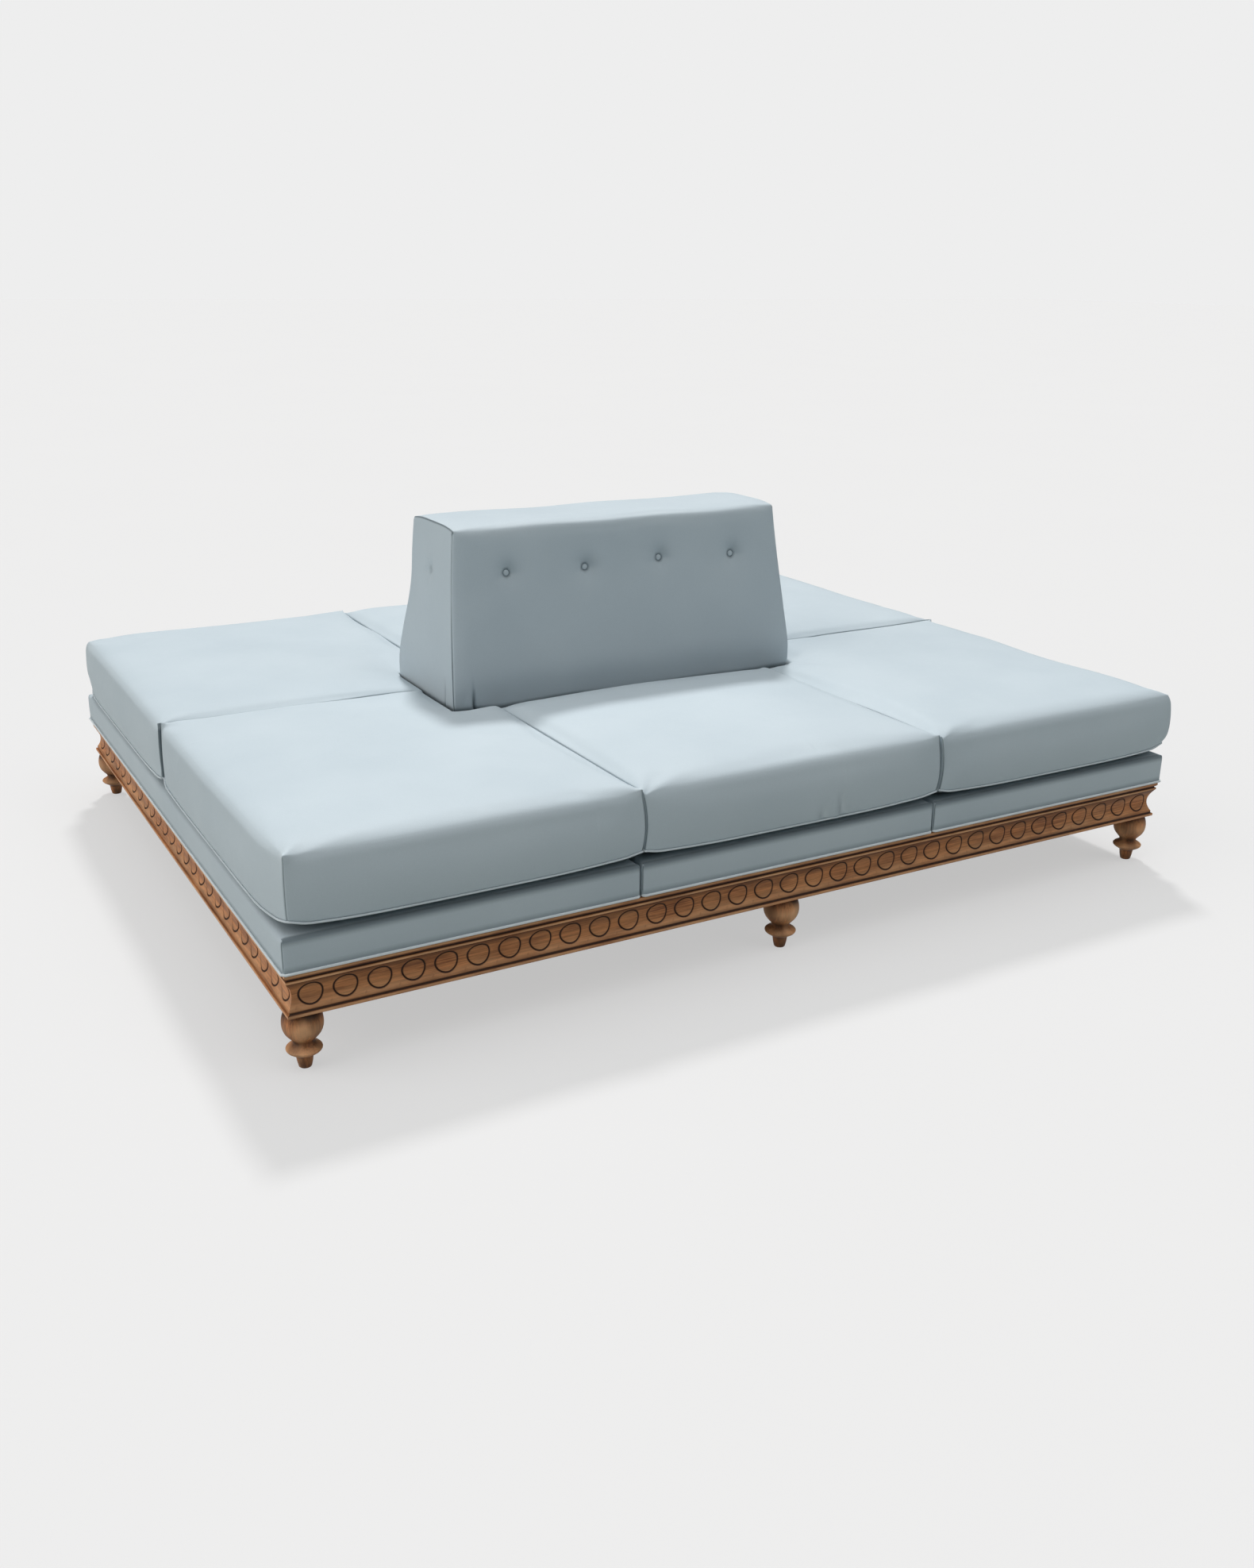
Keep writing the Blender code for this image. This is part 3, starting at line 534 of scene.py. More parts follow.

# (offset from the rail's face, height, painted shade, wear and painted highlight) of the mouldings under and
# over the cove
FILLET_ROWS = (
    (0.0018, 0.0, 0.2, 0.0),
    (0.0004, 0.0006, 0.0, 0.2),
    (0.0, 0.0018, 0.0, 0.5),
    (0.0, 0.0045, 0.0, 0.9),
    (0.0, 0.0062, 0.0, 0.6),
    (0.0004, 0.0070, 0.2, 0.1),
    (0.0014, 0.0078, 0.9, 0.0),
    (0.0042, 0.0085, 1.0, 0.0),
    (0.0047, 0.0105, 0.95, 0.0),
)
BEAD_ROWS = (
    (0.0024, 0.0742, 0.85, 0.0),
    (0.0008, 0.0750, 0.35, 0.1),
    (0.0, 0.0760, 0.0, 0.8),
    (0.0, 0.0780, 0.0, 1.0),
    (0.0, 0.0797, 0.0, 0.7),
    (0.0006, 0.0805, 0.4, 0.0),
    (0.0034, 0.0815, 1.0, 0.0),
    (0.0038, 0.0832, 1.0, 0.0),
    (0.0014, 0.0848, 0.85, 0.0),
    (-0.0006, 0.0868, 0.60, 0.0),
    (-0.0018, 0.0888, 0.15, 0.2),
    (-0.0022, 0.0904, 0.0, 0.8),
    (-0.0020, 0.0920, 0.0, 1.0),
    (-0.0012, 0.0938, 0.0, 0.6),
    (-0.0002, 0.0950, 0.2, 0.1),
    (0.0008, 0.0960, 0.6, 0.0),
    (0.0030, PLINTH_HEIGHT, 0.6, 0.0),
)


def cove_inset(height):
    """The cove's inset from the deck's edge at a height above the plinth's base."""
    share = (height - COVE_LOW[1]) / (COVE_HIGH[1] - COVE_LOW[1])
    return COVE_LOW[0] + (COVE_HIGH[0] - COVE_LOW[0]) * share + COVE_DEPTH * 4 * share * (1 - share)


def cove_shade(height):
    """Painted shade in the cove under the listel, and painted highlight near its foot, at a height above the
    plinth.
    """
    share = (height - COVE_LOW[1]) / (COVE_HIGH[1] - COVE_LOW[1])
    dark = np.interp(share, (0.0, 0.08, 0.62, 0.80, 0.92, 1.0), (0.30, 0.0, 0.0, 0.20, 0.55, 0.75))
    pale = np.interp(share, (0.0, 0.10, 0.24, 0.42), (0.35, 0.60, 0.22, 0.0))
    return float(dark), float(pale)


def rail_outline():
    """(inset, height, painted shade, wear and painted highlight) points round the moulding, and the number of
    the cove's first row.
    """
    rows = [(RAIL_INNER, 0.0, 0.2, 0.0)] + [(RAIL_INSET + offset, *rest) for offset, *rest in FILLET_ROWS]
    first = len(rows)
    for k in range(COVE_ROWS + 1):
        height = COVE_LOW[1] + (COVE_HIGH[1] - COVE_LOW[1]) * k / COVE_ROWS
        rows.append((cove_inset(height), height, *cove_shade(height)))
    rows += [(RAIL_INSET + offset, *rest) for offset, *rest in BEAD_ROWS]
    return rows + [(RAIL_INNER, PLINTH_HEIGHT, 0.3, 0.0)], first


def rail_columns(length):
    """Places along a rail up to its last module's edges, and the middles of its modules."""
    span = length - 2 * ROUNDEL_END
    gaps = round(span / ROUNDEL_PITCH)
    pitch = span / gaps
    middles = [span * (i / gaps - 0.5) for i in range(gaps + 1)]
    count = len(middles) * MODULE_COLUMNS
    start = -span / 2 - pitch / 2
    return [start + pitch * i / MODULE_COLUMNS for i in range(count + 1)], middles


def rail_mesh(length, reach):
    """Points, faces, painted shade, and wear with painted highlight, of one mitred rail along X, with the
    deck's edge at Y = -reach.
    """
    rows, first = rail_outline()
    columns, middles = rail_columns(length)
    spare = MITRE_COLUMNS
    count = len(columns) + 2 * spare
    edge = columns[-1]
    made = []
    for inset, height, shade_level, worn_and_lit in rows:
        end = length / 2 - inset - FIT
        past = [edge + (end - edge) * (i + 1) / spare for i in range(spare)]
        places = [-p for p in reversed(past)] + columns + past
        made += [(x, inset - reach, height, shade_level, worn_and_lit) for x in places]
    in_modules = range(spare, count - 1 - spare)
    in_cove = range(first, first + COVE_ROWS)
    faces = []
    for row in range(len(rows)):
        after = (row + 1) % len(rows)
        for column in range(count - 1):
            if row in in_cove and column in in_modules:
                continue
            a, b = row * count + column, after * count + column
            faces.append((a, a + 1, b + 1, b))
    faces.append(tuple(row * count for row in range(len(rows))))
    faces.append(tuple(row * count + count - 1 for row in reversed(range(len(rows)))))
    middle_height = (COVE_LOW[1] + COVE_HIGH[1]) / 2
    low_row, high_row = first, first + COVE_ROWS
    for number, middle in enumerate(middles):
        left = spare + number * MODULE_COLUMNS
        right = left + MODULE_COLUMNS
        rim = [low_row * count + c for c in range(left, right)]
        rim += [r * count + right for r in range(low_row, high_row)]
        rim += [high_row * count + c for c in range(right, left, -1)]
        rim += [r * count + left for r in range(high_row, low_row, -1)]
        turns = [math.atan2(made[v][2] - middle_height, made[v][0] - middle) for v in rim]
        rings = []
        for radius, relief, shade_level, worn_and_lit in zip(RING_RADII, RING_RELIEF, RING_SHADE, RING_WEAR_AND_HIGHLIGHT):
            rings.append(range(len(made), len(made) + len(rim)))
            for turn in turns:
                height = middle_height + radius * math.sin(turn)
                x = middle + RING_STRETCH * radius * math.cos(turn)
                # Painted shade under the listel and in the ring's groove, painted highlight near the cove's
                # foot
                dark, pale = cove_shade(height)
                shade = max(shade_level, dark), (worn_and_lit + pale) * (1 - shade_level)
                made.append((x, cove_inset(height) - relief - reach, height, *shade))
        rings += [range(len(made), len(made) + len(rim)), rim]
        for v, turn in zip(rim, turns):
            x = (made[v][0] + middle + RING_STRETCH * RING_RADII[-1] * math.cos(turn)) / 2
            height = (made[v][2] + middle_height + RING_RADII[-1] * math.sin(turn)) / 2
            made.append((x, cove_inset(height) - reach, height, *cove_shade(height)))
        centre = len(made)
        y = cove_inset(middle_height) - RING_RELIEF[0] - reach
        made.append((middle, y, middle_height, 0.0, 0.0))
        for k in range(len(rim)):
            n = (k + 1) % len(rim)
            faces.append((centre, rings[0][k], rings[0][n]))
            for inner, outer in zip(rings, rings[1:]):
                faces.append((inner[k], outer[k], outer[n], inner[n]))
    table = np.array(made)
    return table[:, :3], faces, table[:, 3], table[:, 4]


def tidy_mesh(points, faces, *layers):
    """Drops points that no face uses."""
    used = np.zeros(len(points), bool)
    used[[v for f in faces for v in f]] = True
    number = np.cumsum(used) - 1
    return points[used], [tuple(int(number[v]) for v in f) for f in faces], *(layer[used] for layer in layers)


def build_rails():
    """Four carved rails, mitred where they meet."""
    for turn, side in enumerate(("front", "right", "back", "left")):
        length, width = (DECK_LENGTH, DECK_DEPTH) if turn % 2 == 0 else (DECK_DEPTH, DECK_LENGTH)
        points, faces, painted_wood_shade, wear_and_highlight = tidy_mesh(*rail_mesh(length, width / 2))
        # On the end rails the lower fillet keeps only a quarter of its painted shade
        if turn % 2:
            painted_wood_shade = np.where(points[:, 2] < FILLET_TOP, END_RAIL_SHADE * painted_wood_shade, painted_wood_shade)
        grain = points + (3.7 * turn, 0.31 * turn, 0.17 * turn)
        points[:, 2] += FOOT_HEIGHT
        spin = np.array(Matrix.Rotation(turn * math.pi / 2, 3, "Z"))
        rail = new_piece(f"carved_rail_{side}", points @ spin.T, faces, WOOD, 38)
        paint(rail, "painted_wood_shade", painted_wood_shade)
        paint(rail, "wear_and_highlight", wear_and_highlight)
        paint(rail, "grain", grain)
        settle(rail, "carved_wood", f"plinth_rail_{side}")


# Turned feet


# Height, width and strength of the painted shade in the hollows (neck, ankle) and of the wear and painted
# highlight on the rounds (rim, bulb, collar)
FOOT_HOLLOWS = ((0.0610, 0.0090, 0.55), (0.0300, 0.0040, 0.50))
FOOT_ROUNDS = ((0.0425, 0.0028, 1.0), (0.0950, 0.0140, 0.75), (0.0480, 0.0040, 0.90))
# Strengths of the bands of painted shade and painted highlight round each foot
FOOT_PAINTED_SHADE, FOOT_PAINTED_HIGHLIGHT = 0.34, 0.75


def foot_outline():
    """(radius, height) points of a turned foot with its tenon, from the top down."""
    bulb = [(0.0320, 0.1297), (0.0370, 0.1230), (0.0405, 0.1130), (0.0419, 0.1010), (0.0409, 0.0900)]
    bulb += [(0.0366, 0.0790), (0.0296, 0.0700), (0.0238, 0.0635), (0.0216, 0.0592), (0.0214, 0.0572)]
    flare = [(0.0218, 0.0562), (0.0248, 0.0524), (0.0288, 0.0495), (0.0328, 0.0471), (0.0350, 0.0456)]
    rim = [(0.0356, 0.0450), (0.0365, 0.0440), (0.0368, 0.0426), (0.0366, 0.0412), (0.0360, 0.0400)]
    toe = [(0.0342, 0.0380), (0.0285, 0.0342), (0.0222, 0.0304), (0.0185, 0.0272), (0.0174, 0.0235)]
    toe += [(0.0158, 0.0130), (0.0140, 0.0050)]
    base = [(0.0133, 0.0018), (0.0120, 0.0004), (0.0100, 0.0)]
    outline = [(0.0, TENON_TOP), (TENON_RADIUS - 0.001, TENON_TOP), (TENON_RADIUS, TENON_TOP - 0.001)]
    outline += [(TENON_RADIUS, FOOT_HEIGHT - FIT), (0.0285, FOOT_HEIGHT - FIT)]
    for part in (bulb, flare, rim, toe):
        outline += curve_through(part, 4)
    return outline + base + [(0.0, 0.0)]


def build_feet():
    """Six turned feet."""
    x, y = DECK_LENGTH / 2 - FOOT_INSET, DECK_DEPTH / 2 - FOOT_INSET
    outline = foot_outline()
    heights = np.array([h for _, h in outline])
    painted_wood_shade, wear_and_highlight = (
        sum(strength * bell(heights - height, width) for height, width, strength in marks)
        for marks in (FOOT_HOLLOWS, FOOT_ROUNDS)
    )
    # Painted shade towards the toe's base and on the bulb's top under the rail
    painted_wood_shade += 0.35 * smooth_step((0.026 - heights) / 0.020) + 0.65 * smooth_step((heights - 0.108) / 0.018)
    for row, y_sign in (("front", -1), ("back", 1)):
        for column, x_sign in (("left", -1), ("middle", 0), ("right", 1)):
            points, faces, index = turned(outline, 64)
            seed = 5.3 * x_sign + 11.9 * y_sign
            grain = points[:, [2, 0, 1]] + (seed, 0.2 * seed, 0.1 * seed)
            place = points + (x_sign * x, y_sign * y, 0.0)
            foot = new_piece(f"turned_foot_{row}_{column}", place, faces, WOOD, 50)
            around = np.arctan2(points[:, 1], points[:, 0])
            # Spiral bands of painted shade and painted highlight, different on each foot
            shade_bands = FOOT_PAINTED_SHADE * smooth_step(0.8 * np.sin(3 * around + 31 * points[:, 2] + seed) + 0.3)
            highlight_bands = FOOT_PAINTED_HIGHLIGHT * smooth_step(0.7 * np.sin(3 * around - 24 * points[:, 2] + 2 * seed))
            paint(foot, "painted_wood_shade", np.clip(painted_wood_shade[index] + shade_bands, 0, 1))
            paint(foot, "wear_and_highlight", np.clip(wear_and_highlight[index] + highlight_bands, 0, 1))
            paint(foot, "grain", grain)
            settle(foot, "carved_wood", f"foot_{row}_{column}")


# Cloth


CLOTH_FRAMES = 20
CLOTH_SETTINGS = {
    "quality": 4,
    "mass": 0.4,
    "tension_stiffness": 25.0,
    "compression_stiffness": 25.0,
    "shear_stiffness": 12.0,
    "bending_stiffness": 4.0,
    "vertex_group_mass": "pins",
    "use_pressure": True,
    "uniform_pressure_force": 4.0,
}
SOFT = []


def hold_for_cloth(piece, pins, cap, clamp):
    """Lists a piece for the cloth run: its pin weights, the most that a point may move, and its limits."""
    SOFT.append((piece, np.asarray(pins, float), cap, clamp))


def swell_all():
    """Blows the soft pieces up a little as pinned cloth, all in one run, and keeps the result."""
    scene = bpy.context.scene
    for piece, pins, _, _ in SOFT:
        group = piece.vertex_groups.new(name="pins")
        for level in np.unique(np.round(pins, 2)):
            if level > 0:
                group.add(np.flatnonzero(np.round(pins, 2) == level).tolist(), float(level), "REPLACE")
        cloth = piece.modifiers.new("swell", "CLOTH")
        for key, value in CLOTH_SETTINGS.items():
            setattr(cloth.settings, key, value)
        cloth.settings.effector_weights.gravity = 0.0
        cloth.point_cache.frame_start, cloth.point_cache.frame_end = 1, CLOTH_FRAMES
    for number in range(1, CLOTH_FRAMES + 1):
        scene.frame_set(number)
    graph = bpy.context.evaluated_depsgraph_get()
    for piece, _, cap, clamp in SOFT:
        start = points_of(piece.data)
        moved = points_of(piece.evaluated_get(graph).data) - start
        far = np.linalg.norm(moved, axis=1)
        moved *= (cap * np.tanh(far / cap) / np.maximum(far, 1e-9))[:, None]
        piece.modifiers.remove(piece.modifiers["swell"])
        piece.vertex_groups.clear()
        put_points(piece.data, clamp(start + moved))
    scene.frame_set(1)


# Seat cushions


def cushion_plan(middle):
    """Grid stops in x and y of the cushion at the back right, or at the back middle."""
    notch_x = BACKREST_LENGTH / 2 + BACKREST_CLEARANCE
    notch_y = BACKREST_DEPTH / 2 + BACKREST_CLEARANCE
    half_x, half_y = DECK_LENGTH / 2, DECK_DEPTH / 2
    side = SPLIT_X - CUSHION_TOUCH / 2
    if middle:
        return [-side, side], [notch_y, half_y]
    return [SPLIT_X + CUSHION_TOUCH / 2, notch_x, half_x], [CUSHION_TOUCH / 2, notch_y, half_y]


def shape_corners(points, place, ends_x, ends_y, upright, row, column):
    """Turns a cushion's lower corners up off the deck, and fills, tucks or draws in its upright ones."""
    x, y, z = place
    (low_x, high_x), (low_y, high_y) = ends_x, ends_y
    middle, pulled = column == "middle", (row, column) == PULLED_CUSHION
    low = smooth_step((LOW_ZONE - z) / LOW_ZONE)
    for corner_x in (low_x, high_x):
        for corner_y in (low_y, high_y):
            if middle and corner_y == low_y:
                continue
            at_split = middle or corner_x == low_x or corner_y == low_y
            off = np.hypot(x - corner_x, y - corner_y)
            lift = CORNER_LIFT * bell(off, CORNER_LIFT_REACH)
            lift += (SPLIT_CURL if at_split else OUTER_CURL) * bell(off, CURL_REACH)
            points[:, 2] += lift * low
            if row == "front" and column != "left" and (corner_x, corner_y) == (low_x, high_y):
                points[:, 0] += SPLIT_NOTCH[column] * bell(off, SPLIT_NOTCH_REACH)
            if pulled and (corner_x, corner_y) == (high_x, low_y):
                points[:, 0] -= CREVICE * bell(off, CREVICE_REACH)
            if at_split:
                continue
            if pulled:
                drawn = bell(off, DRAWN_REACH)
                points[:, 0] -= DRAWN_CORNER[0] * drawn
                points[:, 1] -= DRAWN_CORNER[1] * drawn
                points[:, 2] -= DRAWN_CORNER[2] * drawn * (1 - low)
                continue
            full = CORNER_FULLNESS[row] * upright * bell(off, FULL_REACH)
            if (row, column) == ("back", "left"):
                full -= CORNER_TUCK * bell(off, TUCK_REACH)
                points[:, 2] -= CORNER_DROP * (1 - low) * bell(off, TUCK_FOOT)
            full -= CORNER_TUCK * smooth_step((0.050 - z) / 0.045) * bell(off, TUCK_FOOT)
            points[:, 0] += full
            points[:, 1] += full * 0.6


def press_wrinkles(points, x, z, b):
    """Presses the wrinkles into the front of the middle cushion, and gives their painted shade and painted
    highlight.
    """
    folds, ridges = np.zeros_like(x), np.zeros_like(x)
    for place, width, top, depth in WRINKLES:
        off = x + WRINKLE_LEAN * (z - PIPING_HEIGHT) - place
        fold = bell(off, width) - 0.75 * bell(off + 0.020, 0.014)
        reach = smooth_step((top - z) / (top * 0.75)) * smooth_step((z - 0.014) / 0.012)
        points[:, 1] -= depth * fold * reach * np.clip(b, 0, 1) ** 2
        reach *= b > 0.5
        folds = np.maximum(folds, FOLD_SHADE * reach * bell(off + 0.010, 0.008))
        ridges = np.maximum(ridges, RIDGE_PALE * reach * bell(off - 0.005, 0.006))
    return folds, ridges


def build_cushion(row, column, seed):
    """One loose cushion: soft upper edges, sewn corners, and a piped seam over a tucked-in underside."""
    middle = column == "middle"
    x_sign, y_sign = (-1 if column == "left" else 1), (-1 if row == "front" else 1)
    x_stops, y_stops = cushion_plan(middle)
    x_marks = x_stops
    if middle and row == "front":
        x_marks = [x_stops[0], *(wrinkle[0] for wrinkle in WRINKLES), x_stops[-1]]
    xs, ys = grid_lines(x_marks, CUSHION_STEP), grid_lines(y_stops, CUSHION_STEP)
    zs = np.array(
        [0, 0.005, 0.010, 0.0133, PIPING_HEIGHT, 0.021, 0.028, 0.040, 0.060, 0.086, 0.112]
        + [0.134, 0.142, 0.150, 0.157, 0.163, 0.167, CUSHION_THICKNESS]
    )
    solid = np.ones((len(xs) - 1, len(ys) - 1, len(zs) - 1), bool)
    if not middle:
        notched = np.ix_(xs[:-1] < x_stops[1] - 1e-6, ys[:-1] < y_stops[1] - 1e-6)
        solid[notched] = False
    x, y, z, faces = block_skin(solid, xs, ys, zs)
    low_x, low_y, high_x, high_y = x_stops[0], y_stops[0], x_stops[-1], y_stops[-1]
    out_x = INNER_SOFTNESS if middle else OUTER_SOFTNESS
    a = edge_share(x, low_x, high_x, INNER_SOFTNESS, out_x)
    b = edge_share(y, low_y - middle, high_y, INNER_SOFTNESS, OUTER_SOFTNESS)
    c = np.clip((z - CUSHION_THICKNESS) / TOP_SOFTNESS + 1, 0.0, 1.0)
    inner = np.maximum(np.where((a < 0) | middle, np.abs(a), 0.0), np.where(b < 0, -b, 0.0))
    outer = np.maximum(np.where((a > 0) & (not middle), a, 0.0), np.where(b > 0, b, 0.0))
    seam_like = inner**2 / np.maximum(inner**2 + outer**2, 1e-9)
    radii = np.stack(
        [
            np.where(a < 0, INNER_SOFTNESS, out_x),
            np.where(b < 0, INNER_SOFTNESS, OUTER_SOFTNESS),
            TOP_SOFTNESS + (SEAM_SOFTNESS - TOP_SOFTNESS) * seam_like,
        ],
        1,
    )
    shares = np.stack([a, b, c], 1)
    both = np.minimum(np.abs(a), np.abs(b))
    pulled_corner = (row, column) == PULLED_CUSHION
    outer_corner = (a > 0) & (b > 0) & (not middle)
    power = 2.0 + np.where(outer_corner & (not pulled_corner), ROUND_POWER[row], SEWN_POWER) * both**2
    points = softened(np.stack([x, y, z], 1), shares, radii, edge_norm(a, b, c, power))

    # Crown, swelling sides, and a roll down to the backrest
    edge_x = np.minimum(x - low_x, high_x - x)
    edge_y = np.minimum(y - low_y, high_y - y)
    crown = crown_share(edge_x, CROWN_REACH) * crown_share(edge_y, CROWN_REACH)
    apart = y - low_y
    if not middle:
        apart = np.hypot(np.maximum(x - x_stops[1], 0), np.maximum(y - y_stops[1], 0))
        crown = np.minimum(crown, crown_share(apart, NOTCH_CROWN_REACH))
    points[:, 2] += CUSHION_CROWN * crown * smooth_step(z / CUSHION_THICKNESS * 2 - 1)
    rolled = np.clip(1 - apart / BACKREST_ROLL, 0, 1)
    upper = np.clip((z - DIP_FOOT) / (CUSHION_THICKNESS - DIP_FOOT), 0, 1)
    endwise = 0.0 if middle else np.clip((x - x_stops[1]) / np.maximum(apart, 1e-6), 0, 1) ** 2
    dip = END_DIP if row == "back" else BACKREST_DIP - (BACKREST_DIP - END_DIP) * endwise
    points[:, 2] -= upper * (dip * (1 - np.sqrt(1 - rolled**2)) + 0.005 * bell(apart, 0.075))
    if middle:
        points[:, 2] += upper * MIDDLE_RISE * (1 - (x / high_x) ** 2) * bell(apart, 0.09)
    sag = np.zeros_like(x)
    if column != "left":
        sag += SIDE_SAG * bell(x - low_x, SIDE_SAG_REACH)
    if row == "back" and not middle:
        sag += ROW_SAG * bell(y - low_y, ROW_SAG_REACH)
    points[:, 2] -= upper * sag
    climb = (z - PIPING_HEIGHT) / (CUSHION_THICKNESS - PIPING_HEIGHT - 0.012)
    upright = np.sin(math.pi * np.clip(climb, 0, 1)) ** 0.7
    swell_x = CUSHION_BULGE * upright * np.clip(a, 0, 1) ** 3 * (0.5 + 0.5 * crown_share(edge_y, SWELL_REACH))
    swell_y = CUSHION_BULGE * upright * np.clip(b, 0, 1) ** 3 * (0.5 + 0.5 * crown_share(edge_x, SWELL_REACH))
    points[:, 0] += 0 if middle else swell_x
    points[:, 1] += swell_y

    # Underside drawn in below the piping, and the corners
    under = np.clip(1 - z / PIPING_HEIGHT, 0, 1) ** 0.7
    cut_x = edge_share(x, low_x, high_x, 0.05, 0.06)
    cut_y = edge_share(y, low_y - middle, high_y, 0.05, 0.06)
    points[:, 0] -= under * cut_x * np.where((cut_x > 0) & (not middle), OUTER_UNDERCUT, INNER_UNDERCUT)
    points[:, 1] -= under * cut_y * np.where(cut_y > 0, OUTER_UNDERCUT, INNER_UNDERCUT)
    shape_corners(points, (x, y, z), (low_x, high_x), (low_y, high_y), upright, row, column)
    free = smooth_step((z - PIPING_HEIGHT) / 0.03) * (1 - both**4) * smooth_step(apart / 0.03)
    points += wander(points, seed) * (CUSHION_WANDER * free)[:, None]
    folds = ridges = np.zeros_like(x)
    if middle and row == "front":
        folds, ridges = press_wrinkles(points, x, z, b)

    turn = np.array((x_sign, y_sign, 1.0))
    points = points * turn + (0.0, 0.0, DECK_TOP + FIT)
    if turn[0] * turn[1] < 0:
        faces = faces[:, ::-1]
    cushion = new_piece(f"cushion_{row}_{column}_cover", points, faces, FABRIC)

    corner = both > 0.97
    below = z < PIPING_HEIGHT + 1e-6
    by_backrest = apart < 1e-6
    pins = np.where(corner | below | by_backrest, 1.0, smooth_step((both - 0.6) / 0.37))
    nearest = np.stack([np.full_like(x, low_x), np.full_like(y, low_y)], 1)
    if not middle:
        nearest[y < y_stops[1] - 1e-6, 0] = x_stops[1]
        nearest[x < x_stops[1] - 1e-6, 1] = y_stops[1]
    reach = np.array((high_x + (0.0 if middle else 0.012), high_y + 0.012))

    def clamp(moved):
        plain = moved * turn
        plain[:, :2] = np.clip(plain[:, :2], nearest, reach)
        return plain * turn

    hold_for_cloth(cushion, pins, CUSHION_PLAY, clamp)
    hidden = by_backrest | (a < -0.99) | (b < -0.99) | (middle & (np.abs(a) > 0.99))
    return {
        "piece": cushion,
        "faces": faces,
        "corner": corner,
        "ring": np.flatnonzero(np.abs(z - PIPING_HEIGHT) < 1e-6),
        "hidden": hidden,
        "shares": shares,
        "turn": turn,
        "height": z,
        "apart": apart,
        "endwise": endwise,
        "folds": folds,
        "ridges": ridges,
        "eared": ~outer_corner | pulled_corner,
    }


def finish_cushion(made, row, column):
    """Sews the corners, adds the piping and ties a cushion to its body."""
    piece, turn, body = made["piece"], made["turn"], f"cushion_{row}_{column}"
    points = points_of(piece.data)
    a, b, c = made["shares"].T
    upright = made["corner"] & (made["height"] > PIPING_HEIGHT - 0.001)
    outward = np.stack([np.sign(a), np.sign(b)], 1) * turn[:2]
    both = np.minimum(np.abs(a), np.abs(b))
    lip = (both > 0.85) & (both < 0.97) & (np.maximum(np.abs(a), np.abs(b)) > 0.99)
    points[upright, :2] -= SEAM_DRAW * outward[upright]
    points[lip, :2] += SEAM_LIP * outward[lip]
    ear = bell(1 - both, 0.5) * bell(1 - c, 0.45) * (c > 0.01) * made["eared"]
    points += np.concatenate([outward * EAR_OUT, np.full((len(points), 1), EAR_UP)], 1) * ear[:, None]
    if row == "front":
        off_split = (np.abs(points[:, 0]) - SPLIT_X) / 0.03
        off_front = (points[:, 1] + DECK_DEPTH / 2) / 0.12
        lean = np.exp(-(off_split**2) - off_front**2)
        share = np.clip(made["height"] / CUSHION_THICKNESS, 0, 1)
        points[:, 0] += SPLIT_LEAN * lean * np.sin(math.pi * share)
    if (row, column) in (("front", "right"), ("back", "left")):
        notch = np.array((BACKREST_LENGTH, BACKREST_DEPTH)) / 2 + BACKREST_CLEARANCE
        near = bell(np.linalg.norm(np.abs(points[:, :2]) - notch, axis=1), NOTCH_FILL_REACH)
        near *= smooth_step((made["height"] - 0.100) / 0.050)
        points[:, :2] -= NOTCH_FILL * near[:, None] * turn[:2]
    put_points(piece.data, points)
    # Painted shade in the upright corner seams, the crevice between the rows, the back row's front top edge,
    # along the piping, on the underside, where the cushion meets the backrest, and in the wrinkles' folds
    painted_shade = np.zeros(len(points))
    painted_shade[upright & (c < 0.95)] = SEAM_SHADE
    if column != "middle":
        painted_shade[(b < -0.97) & (a > 0.6) & (c < 0.95)] = SEAM_SHADE
        if row == "back":
            painted_shade[(b < -0.97) & (c > 0.5)] = ROW_SHADE
    painted_shade[made["ring"]] = PIPED_SHADE
    painted_shade[made["height"] < PIPING_HEIGHT - 0.001] = UNDER_SHADE
    contact = CONTACT_SHADE * (1 - made["endwise"]) * smooth_step((0.005 - made["apart"]) / 0.005)
    painted_shade = np.maximum(painted_shade, contact)
    paint(piece, "painted_shade", np.maximum(painted_shade, made["folds"]))
    # Painted highlight on the wrinkles' ridges
    paint(piece, "pale", made["ridges"])
    order = loop_order(made["faces"], made["ring"])
    ring = points[order]
    away = np.cross(np.roll(ring, -1, 0) - np.roll(ring, 1, 0), (0.0, 0.0, 1.0))
    away /= np.linalg.norm(away, axis=1)[:, None]
    if ((ring - ring.mean(0)) * away).sum() < 0:
        away = -away
    proud = np.where(made["hidden"][order], -PIPING_SUNK, PIPING_PROUD)
    tube_points, tube_faces = tube(ring + away * proud[:, None], PIPING_RADIUS)
    piping = new_piece(f"{body}_piping", tube_points, tube_faces, FABRIC)
    # The piping is painted pale all round, a painted highlight for the light that it catches
    paint(piping, "pale", np.full(len(tube_points), PIPING_PALE))
    settle(piping, "upholstery", body=body)
    upholster(piece, f"seat_{body}", body)


# Decks


DECK_STEP = 0.06
DECK_SOFTNESS = 0.013
DECK_SWELL = 0.0022
DECK_CROWN = 0.08
DECK_PROUD = 0.003
DECK_SEAM = 0.0010
DECK_WANDER = 0.0008
DECK_SHADE = 0.80
WELT_PROUD = 0.0022
WELT_DRAW = 1.45
WELT_CORNER = 0.2


